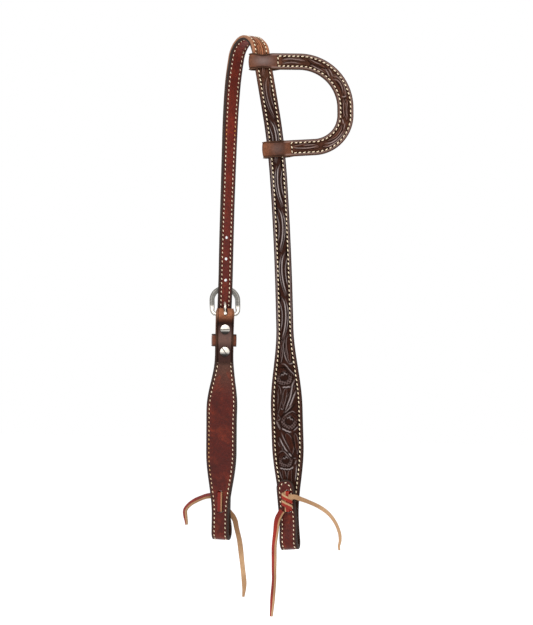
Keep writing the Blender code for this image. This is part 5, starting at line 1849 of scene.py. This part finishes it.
def earSpine():
    point, _, width, _ = offLeg.at(ear["fromApex"])
    drop = ear["topRadius"] + ear["side"] + ear["bottomRadius"]
    travel = unit(offLeg.at(ear["fromApex"] + drop)[0] - point)
    out = unit(np.cross(travel, width))
    across = unit(np.cross((0.0, 0.0, 1.0), out))
    up = np.cross(out, across)
    lean = float(travel @ across) / -float(travel @ up)
    front = half + ear["loopGap"] + strap["layer"] / 2
    loop = loopLine(front, front - strap["layer"] - strap["seamGap"])
    places = [(a, b, 0.0) for a, b in loop]
    widths = [(0.0, 1.0)] * len(places)

    def straight(start, heading, length):
        for r in np.arange(strap["fineStep"], length, strap["fineStep"]):
            places.append((start[0] + heading[0] * r, front, start[1] + heading[1] * r))
            widths.append((-heading[1], heading[0]))

    def curve(centre, radius, first, degrees):
        steps = fineSteps(radius * math.radians(degrees))
        for i in range(steps + 1):
            angle = math.radians(first - degrees * i / steps)
            way = (math.cos(angle), math.sin(angle))
            places.append((centre[0] + radius * way[0], front, centre[1] + radius * way[1]))
            widths.append(way)

    straight((loop[-1][0], 0.0), (1.0, 0.0), ear["run"] - loop[-1][0])
    side = ear["run"] + ear["topRadius"]
    curve((ear["run"], -ear["topRadius"]), ear["topRadius"], 90.0, 90.0)
    straight((side, -ear["topRadius"]), (0.0, -1.0), ear["side"])
    bottom = (side - ear["bottomRadius"], -ear["topRadius"] - ear["side"])
    curve(bottom, ear["bottomRadius"], 0.0, ear["bottomDegrees"])
    tilt = math.radians(90.0 - ear["bottomDegrees"])
    right = (math.cos(tilt), math.sin(tilt))
    last = (places[-1][0], places[-1][2])
    run = (last[0] + lean * last[1]) / (right[0] + lean * right[1])
    middle = (last[0] - right[0] * run, last[1] - right[1] * run)
    straight(last, (-right[0], -right[1]), run - loop[-1][0])
    for a, b in loop[::-1]:
        places.append((middle[0] + right[0] * a, b, middle[1] + right[1] * a))
        widths.append((right[1], -right[0]))
    spine = StrapLine([point + across * a + out * b + up * c for a, b, c in places],
                      [across * a + up * c for a, c in widths])
    upperFront = spine.s[len(loop) - 1] - loop[-1][0]
    tailEnd = loop[0][0] + strap["fitGap"]
    lowerFront = spine.s[-len(loop)] + loop[-1][0]
    return spine, upperFront, lowerFront, tailEnd


earMotifs = (  # past the middle of the upper front and out from the band's middle, in millimetres
    ("leaf", 17, 0.6, 38, 0.4, 1.2, 5.6),
    ("leaf", 40, 2.0, 60, 1.2, -1.6, 5.0),
    ("leaf", 42, -2.8, 64, -2.6, 0.8, 3.6),
    ("leaf", 64, 0.4, 88, 0.2, 2.6, 6.0),
    ("leaf", 88, 1.4, 108, 1.6, -1.2, 4.6),
    ("leaf", 88, -2.0, 106, -2.2, 1.0, 3.6),
    ("leaf", 114, 2.4, 140, 1.0, 1.0, 5.6),
    ("leaf", 112, -2.2, 134, -2.6, 0.8, 3.6),
    ("leaf", 142, 0.4, 168, -0.4, -1.2, 5.6),
    ("ridge", (17, 1.4, 24, 2.2, 31, 1.6, 36, 0.6), 0.5, 0.7),
    ("ridge", (17, -2.2, 25, -1.2, 33, -2.0), 0.5, 0.6),
    ("cut", (20, 0.2, 28, 0.4, 34, -0.6), 0.45, 0.9),
    ("cut", (35.5, 5.0, 39, 2.2, 43, -0.3, 48, -1.2, 53, -0.5, 57, 1.6, 60.6, 4.2), 0.65, 1.0),
    ("ridge", (40, 3.6, 46, 1.8, 52, 2.0), 0.45, 0.6),
    ("ridge", (44, -2.4, 50, -3.2, 56, -3.0), 0.5, 0.8),
    ("ridge", (56, 0.2, 60, -1.2, 64, -3.2), 0.6, 1.0),
    ("ridge", (58, 2.4, 62, 1.2, 66, -1.0), 0.5, 0.7),
    ("ridge", (65, -0.2, 70, 3.0, 77, 3.5, 85, 1.8), 0.5, 0.6),
    ("ridge", (67, -2.6, 71, 0.6, 77, 1.2, 83, -0.4), 0.5, 0.6),
    ("cut", (69, -2.8, 73, -0.8, 79, -0.4, 86, -2.0), 0.55, 0.95),
    ("ridge", (86, -2.2, 86.5, 0.2, 86, 2.4), 0.6, 0.8),
    ("ridge", (90, 2.2, 98, 0.8, 106, 1.8), 0.5, 0.5),
    ("ridge", (90, -1.6, 97, -2.4, 104, -1.4), 0.5, 0.4),
    ("ridge", (107, -2.8, 111, -0.8), 0.5, 0.9),
    ("ridge", (110, 0.4, 116, 1.6), 0.5, 0.6),
    ("cut", (118, 2.6, 124, 2.5, 131, 2.1), 0.5, 0.9),
    ("ridge", (117, 1.8, 123, 1.6, 130, 1.0, 136.5, -0.9), 0.55, 1.0),
    ("ridge", (116.5, 3.4, 123, 3.3, 130, 3.2, 137, 2.4), 0.55, 1.0),
    ("cut", (148, -0.6, 157, -0.5, 163, -1.2), 0.5, 0.9),
    ("ridge", (143, -0.6, 152, 0.8, 162, 0.4, 167, -1.0), 0.5, 0.7),
    ("ridge", (146, -2.2, 156, -1.8), 0.45, 0.5),
)


def addEar():
    spine, upper, lower, tailEnd = earSpine()
    ends = (upper + ear["rowFrom"] + ear["panelIn"], lower - ear["rowTo"] - ear["panelIn"])

    def earHalf(s, inset=0.0):
        draw = ease(1 - np.abs(s - upper) / ear["waistReach"])
        return (ear["band"] - (ear["band"] - ear["waist"]) * draw) / 2 - inset

    def earRows(level):
        s = np.arange(upper + ear["rowFrom"], lower - ear["rowTo"], sewing["spacing"])
        return [SewnRow(spine, closedPath(s, earHalf(s, ear["rowInset"])), level)]

    def relief(s, w):
        wide = earHalf(s)
        loops = np.maximum(ease((upper + ear["loopReach"] - s) / ear["loopEase"]),
                           ease((s - lower + ear["loopReach"]) / ear["loopEase"]))
        rise, dark, high, _, _ = tooledFace(s, w, wide, rows, motifs, ends, ear["crease"], loops)
        rise -= ear["loopCrown"] * (w / wide) ** 2 * loops
        # a painted highlight across each loop's front, a painted sheen on the rim between, and painted shade
        # at the loops' edges
        shine = band(s - upper, ear["upperShine"]) + band(s - lower, ear["lowerShine"])
        shine = shine * bell(w / wide, ear["shineWidth"])
        sheen = ear["rimSheen"] * rimSheenBand(w, wide) * (1 - loops)
        rim = ear["loopRim"] * ease((np.abs(w) / wide - ear["loopRimFrom"]) / ear["loopRimOver"]) * loops
        rim += loops * np.where(s < upper + 0.02, ear["upperShade"], slope(lower - s, ear["lowerShade"]))
        return rise, np.clip(dark + rim, 0, 1), np.maximum(high, np.maximum(shine, sheen))

    face = strap["layer"] / 2
    rows = earRows(face)
    reach = (lower - upper) / ear["motifSpan"]
    motifs = inMillimetres(lambda along: upper + along * reach, earMotifs)
    s = spine.s[0] + np.linspace(0.0, spine.length, int(spine.length / ear["step"]) + 1)
    places, traits, w = layerPlaces(spine, s, earHalf(s), roundSection(40, 6), ear["loopRelief"] - face, face,
                                    ear["corner"], relief)
    under, over = ear["lowerWraps"]
    wrapped = band(s - upper, ear["upperWrap"]) + band(s - lower, under) + band(s - lower, over)
    traits["tan"] = ear["tan"] + ear["wrappedTan"] * np.minimum(1.0, wrapped)[:, None]
    finished("earOuter", wrapGrid(places, traits), "tooled", "ear", ["ear_outer_layer"])

    seam = -face - strap["seamGap"]
    back = seam - strap["lining"]
    liningRows = earRows(back)
    first, last = upper + tailEnd, lower - tailEnd
    s = np.linspace(first, last, int((last - first) / ear["liningStep"]) + 1)
    wide = np.full(len(s), ear["band"] / 2)
    places, traits, w = layerPlaces(spine, s, wide, roundSection(24, 4), seam, back, ear["corner"],
                                    plainRelief(liningRows), edging["earLiningBand"])
    traits["low"] = ear["liningLow"]
    finished("earLining", wrapGrid(places, traits), "lining", "ear", ["ear_lining"])
    return rows + liningRows


sewStitches("earThread", "ear", addEar(), lambda place: 0.0)
print("ear made")

# The keeper, held between the cheek and its turnback
def addKeeper():
    point, across, out, up = belowBar(keeper["belowBar"])
    inner = strap["seamGap"] / 2 - strap["fitGap"] - barOut
    outer = billetOut + half + 2 * strap["fitGap"] - barOut
    halfOut = (outer - inner) / 2 + keeper["wall"] / 2
    halfAcross = (keeper["width"] - keeper["wall"]) / 2
    middle = point + out * (inner + outer) / 2
    box = roundedBox(halfAcross, halfOut, keeper["corner"] - keeper["wall"] / 2, 8)
    line = bandRound([middle + across * x + out * y for x, y in box], up, middle, 97)
    wide = keeper["length"] / 2

    def relief(s, w):
        # a crease along each edge, with painted shade in it
        crease = bell(wide - keeper["creaseInset"] - np.abs(w), keeper["creaseWidth"])
        return -keeper["creaseDepth"] * crease, keeper["creaseDark"] * crease, np.zeros(len(s))

    s = line.s[:-1]
    wall = keeper["wall"] / 2
    places, traits, w = layerPlaces(line, s, np.full(len(s), wide), roundSection(30, 6), -wall, wall,
                                    keeper["edge"], relief)
    traits["tan"] = keeper["tan"]
    finished("keeper", wrapGrid(places, traits, True), "smooth", "straps", ["keeper_loop"])


addKeeper()
print("keeper made")


# Metal: the buckle, its tongue and the two strap screws
def addBuckle():
    point, across, out, up = barFrame()
    lean = frameLean()
    rising = up * math.cos(lean) + out * math.sin(lean)
    axes = (point, across, out * math.cos(lean) - up * math.sin(lean), rising)
    wide = buckle["width"] / 2
    inner = wide - buckle["limb"]
    gapHalf = buckle["chape"] / 2 + strap["fitGap"]
    foot = buckle["barRadius"] + strap["fitGap"]
    corner = wide - gapHalf
    thick = buckle["thickness"]

    middle = (wide + inner) / 2
    down = np.linspace(0.0, math.pi / 2, 14)
    rise = corner - foot
    low = np.stack([gapHalf + (middle - gapHalf) * np.sin(down), rise - rise * np.cos(down)], 1)
    side = np.stack([np.full(8, middle), np.linspace(rise, buckle["centreHeight"], 9)[1:]], 1)
    bend = np.linspace(0.0, math.pi, 61)[1:]
    top = np.stack([middle * np.cos(bend), buckle["centreHeight"] + middle * np.sin(bend)], 1)
    flip = np.array([-1.0, 1.0])
    path = np.vstack([low, side, top, (side * flip)[::-1][1:], (low * flip)[::-1]])
    ahead = unit(np.gradient(path, axis=0))
    points = point + path[:, :1] * across + path[:, 1:] * rising
    line = StrapLine(points, ahead[:, 1:] * across - ahead[:, :1] * rising)
    nearBar = 1 - ease(path[:, 1] / buckle["footReach"])
    flat = ease((path[:, 1] - buckle["flatFrom"]) / buckle["flatOver"])
    halves = buckle["limb"] / 2 + (foot - buckle["limb"] / 2) * nearBar
    bevel = buckle["bevel"] + buckle["footBevel"] * (1 - flat)
    section = roundSection(16, 10, 4, 1.6)
    places, _, w = layerPlaces(line, line.s, halves, section, thick / 2, -thick / 2, bevel)
    seam = bell(w / halves[:, None] - buckle["seamAt"], buckle["seamWidth"])
    onBack = (section[:, 4] == 1)[None, :]
    flat = flat[:, None]
    dull = flat * np.where(onBack, 1 - 0.35 * seam, 0.55) + 0.3 * (1 - flat)
    pale = 0.2 * (1 - flat) * np.where(onBack, 1.0, 0.3)
    mesh = wrapGrid(places, {"dull": dull, "pale": pale})
    radius = buckle["barRadius"]
    bar = bmesh.ops.create_cone(mesh, cap_ends=True, segments=32, radius1=radius, radius2=radius,
                                depth=2 * (gapHalf + buckle["limb"] / 2))["verts"]
    bmesh.ops.transform(mesh, matrix=frameMatrix(axes) @ Matrix.Rotation(math.pi / 2, 4, "Y"), verts=bar)
    faceOut(mesh)
    finished("buckleFrame", mesh, "nickel", "buckle", ["buckle_frame"], 32.0)


def addTongue():
    point, across, out, up = barFrame()
    line, heights = tongueLine()
    size = buckle["tongueWidth"] / 2 * (1 - buckle["tongueTaper"] * (heights / heights[-1]) ** 3)
    count = len(heights)
    end = np.sqrt(np.clip(1 - ((np.arange(count) - count + 4.0) / 4.0).clip(0) ** 2, 0.04, 1))
    angles = np.linspace(0, 2 * math.pi, 24, endpoint=False)[None, :, None]
    around = line.w[:, None, :] * np.cos(angles) + line.n[:, None, :] * np.sin(angles)
    places = line.p[:, None, :] + around * (size * end)[:, None, None]
    mesh = wrapGrid(places, {"dull": 0.0, "pale": buckle["tonguePale"]})
    wall = buckle["eyeWall"] / 2
    middle = buckle["barRadius"] + strap["fitGap"] + wall
    turn = np.linspace(0, 2 * math.pi, 49)
    ring = point + out * (middle * np.cos(turn))[:, None] + up * (middle * np.sin(turn))[:, None]
    eye = StrapLine(ring, across)
    wide = np.full(len(turn) - 1, buckle["eyeWidth"] / 2)
    section = roundSection(4, 4, 3, 0.8)
    places = layerPlaces(eye, eye.s[:-1], wide, section, -wall, wall, buckle["eyeCorner"])[0]
    wrapGrid(places, {"dull": 0.0, "pale": buckle["eyePale"]}, True, mesh)
    faceOut(mesh)
    finished("tongue", mesh, "nickel", "tongue", ["buckle_tongue"], 45.0)


def turnedPart(profile, place):  # radius and height out from the bar's axis, spun about the screw
    mesh = bmesh.new()
    verts = [mesh.verts.new((radius, height, 0.0)) for radius, height in profile]
    edges = [mesh.edges.new(pair) for pair in zip(verts, verts[1:])]
    bmesh.ops.spin(mesh, geom=verts + edges, cent=(0, 0, 0), axis=(0, 1, 0), angle=2 * math.pi, steps=48,
                   use_merge=True)
    bmesh.ops.remove_doubles(mesh, verts=mesh.verts, dist=1e-6)
    faceOut(mesh)
    bmesh.ops.transform(mesh, matrix=frameMatrix(place), verts=mesh.verts)
    return mesh


def headSlot(place, crown, deep, degrees):  # a bar that cuts the screwdriver's slot
    cutter = bmesh.new()
    verts = bmesh.ops.create_cube(cutter, size=1.0)["verts"]
    turn = Matrix.Rotation(math.radians(-degrees), 4, "Y")
    bmesh.ops.scale(cutter, vec=(3 * screws["radius"], 2 * deep, screws["slotWidth"]), verts=verts)
    bmesh.ops.transform(cutter, matrix=turn, verts=verts)
    bmesh.ops.translate(cutter, vec=(0.0, crown, 0.0), verts=verts)
    bmesh.ops.transform(cutter, matrix=frameMatrix(place), verts=verts)
    return cutter


def addScrew(which, down, degrees):
    fit = strap["fitGap"]
    radius = screws["radius"]
    low = liningFace - fit - strap["layer"] - barOut
    high = outerFace - barOut
    seat = low - fit
    crown = seat - screws["headHeight"]
    place = belowBar(down)
    whole = screws["domeAngle"]
    profile = []
    for angle in np.linspace(0.0, whole, 9):
        lift = screws["domeRise"] * (1 - math.cos(angle)) / (1 - math.cos(whole))
        profile.append((radius * math.sin(angle) / math.sin(whole), crown + lift))
    profile += [(radius, seat - screws["headEdge"]), (radius - screws["headChamfer"], seat),
                (screws["shank"], seat), (screws["shank"], high - 2 * fit), (0.0, high - 2 * fit)]
    obj = finished(which + "Screw", turnedPart(profile, place), "nickel", "straps", [which + "_screw"], 34.0)
    deep = 1.6 * screws["slotDepth"]
    pierced(obj, headSlot(place, crown, deep, degrees))
    shadeHead(obj, place, crown + 0.9 * deep, degrees)
    head = high + fit
    top = head + buckle["postHead"]
    barrel, bore, edge = screws["barrel"], screws["barrelBore"], screws["postEdge"]
    chamfer = screws["postChamfer"]
    profile = [(0.0, top), (radius - edge, top), (radius - chamfer, top - chamfer), (radius, top - edge),
               (radius, head), (barrel, head), (barrel, low + fit), (bore, low + fit), (bore, high - fit),
               (0.0, high - fit)]
    finished(which + "Post", turnedPart(profile, place), "nickel", "straps", [which + "_screw_post"], 34.0)


def shadeHead(obj, place, floor, degrees):  # painted shade below and in the slot, a painted highlight above
    back = frameMatrix(place).inverted()
    turn = Matrix.Rotation(math.radians(degrees), 4, "Y")
    paintedShade = obj.data.attributes.new("paintedShade", "FLOAT", "POINT")
    pale = obj.data.attributes.new("pale", "FLOAT", "POINT")
    for vert, value, light in zip(obj.data.vertices, paintedShade.data, pale.data):
        spot = back @ vert.co
        turned = turn @ spot
        rise = spot.z / screws["radius"]
        cut = turned.y > floor and abs(turned.z) < 0.52 * screws["slotWidth"]
        value.value = 0.8 if cut else float(0.95 * ease((-rise - 0.30) / 0.25))
        light.value = 0.0 if cut else float(0.75 * ease((rise + 0.3) / 0.3))


addBuckle()
addTongue()
addScrew("upper", screws["upperBelowBar"], screws["upperTurn"])
addScrew("lower", screws["lowerBelowBar"], screws["lowerTurn"])
print("metal made")

# Floor, world and lamps
stage = {
    "floorHeight": -0.75,
    "floorSize": 8.0,
    "floorTone": 0.72,
    "floorGlow": 0.62,
    "aim": (0.0, 0.0, -0.28),
    "key": (0.55, -1.6, 0.9, 1.1, 26.0),  # a lamp's place, its side and its power
    "fill": (-1.5, -1.1, 0.2, 1.2, 9.0),
    "back": (0.3, 1.4, 0.8, 1.2, 12.0),
    "room": 0.55,
}


def addFloor():
    made = bpy.data.materials.new("floorWhite")
    tree = emptyTree(made)
    matt = node(tree, "ShaderNodeBsdfDiffuse", {"Color": (stage["floorTone"],) * 3})
    glow = node(tree, "ShaderNodeEmission", {"Color": (1.0, 1.0, 1.0), "Strength": stage["floorGlow"]})
    both = node(tree, "ShaderNodeAddShader", {0: matt.outputs[0], 1: glow.outputs[0]})
    node(tree, "ShaderNodeOutputMaterial", {0: both.outputs[0]})
    mesh = bmesh.new()
    bmesh.ops.create_grid(mesh, x_segments=1, y_segments=1, size=stage["floorSize"] / 2)
    floor = meshObject("floor", mesh)
    floor.data.materials.append(made)
    floor.location.z = stage["floorHeight"]


def addWorld():
    world = bpy.data.worlds.new("studio")
    tree = emptyTree(world)
    white = (1.0, 1.0, 1.0)
    room = node(tree, "ShaderNodeBackground", {"Color": white, "Strength": stage["room"]})
    sky = node(tree, "ShaderNodeBackground", {"Color": white, "Strength": 1.0})
    ray = tree.nodes.new("ShaderNodeLightPath").outputs
    seen = maths(tree, "ADD", ray["Is Camera Ray"], ray["Is Transmission Ray"], True)
    seen = maths(tree, "ADD", seen, ray["Is Glossy Ray"], True)
    mix = node(tree, "ShaderNodeMixShader", {0: seen, 1: room.outputs[0], 2: sky.outputs[0]})
    node(tree, "ShaderNodeOutputWorld", {0: mix.outputs[0]})
    bpy.context.scene.world = world


def addLamp(name):
    x, y, z, size, power = stage[name]
    data = bpy.data.lights.new(name, "AREA")
    data.energy = power
    data.size = size
    lamp = bpy.data.objects.new(name, data)
    lamp.location = (x, y, z)
    aim = Vector(stage["aim"]) - lamp.location
    lamp.rotation_euler = aim.to_track_quat("-Z", "Y").to_euler()
    link(lamp)


addFloor()
addWorld()
for name in ("key", "fill", "back"):
    addLamp(name)
bpy.context.scene.view_settings.view_transform = "Standard"
print("stage set")
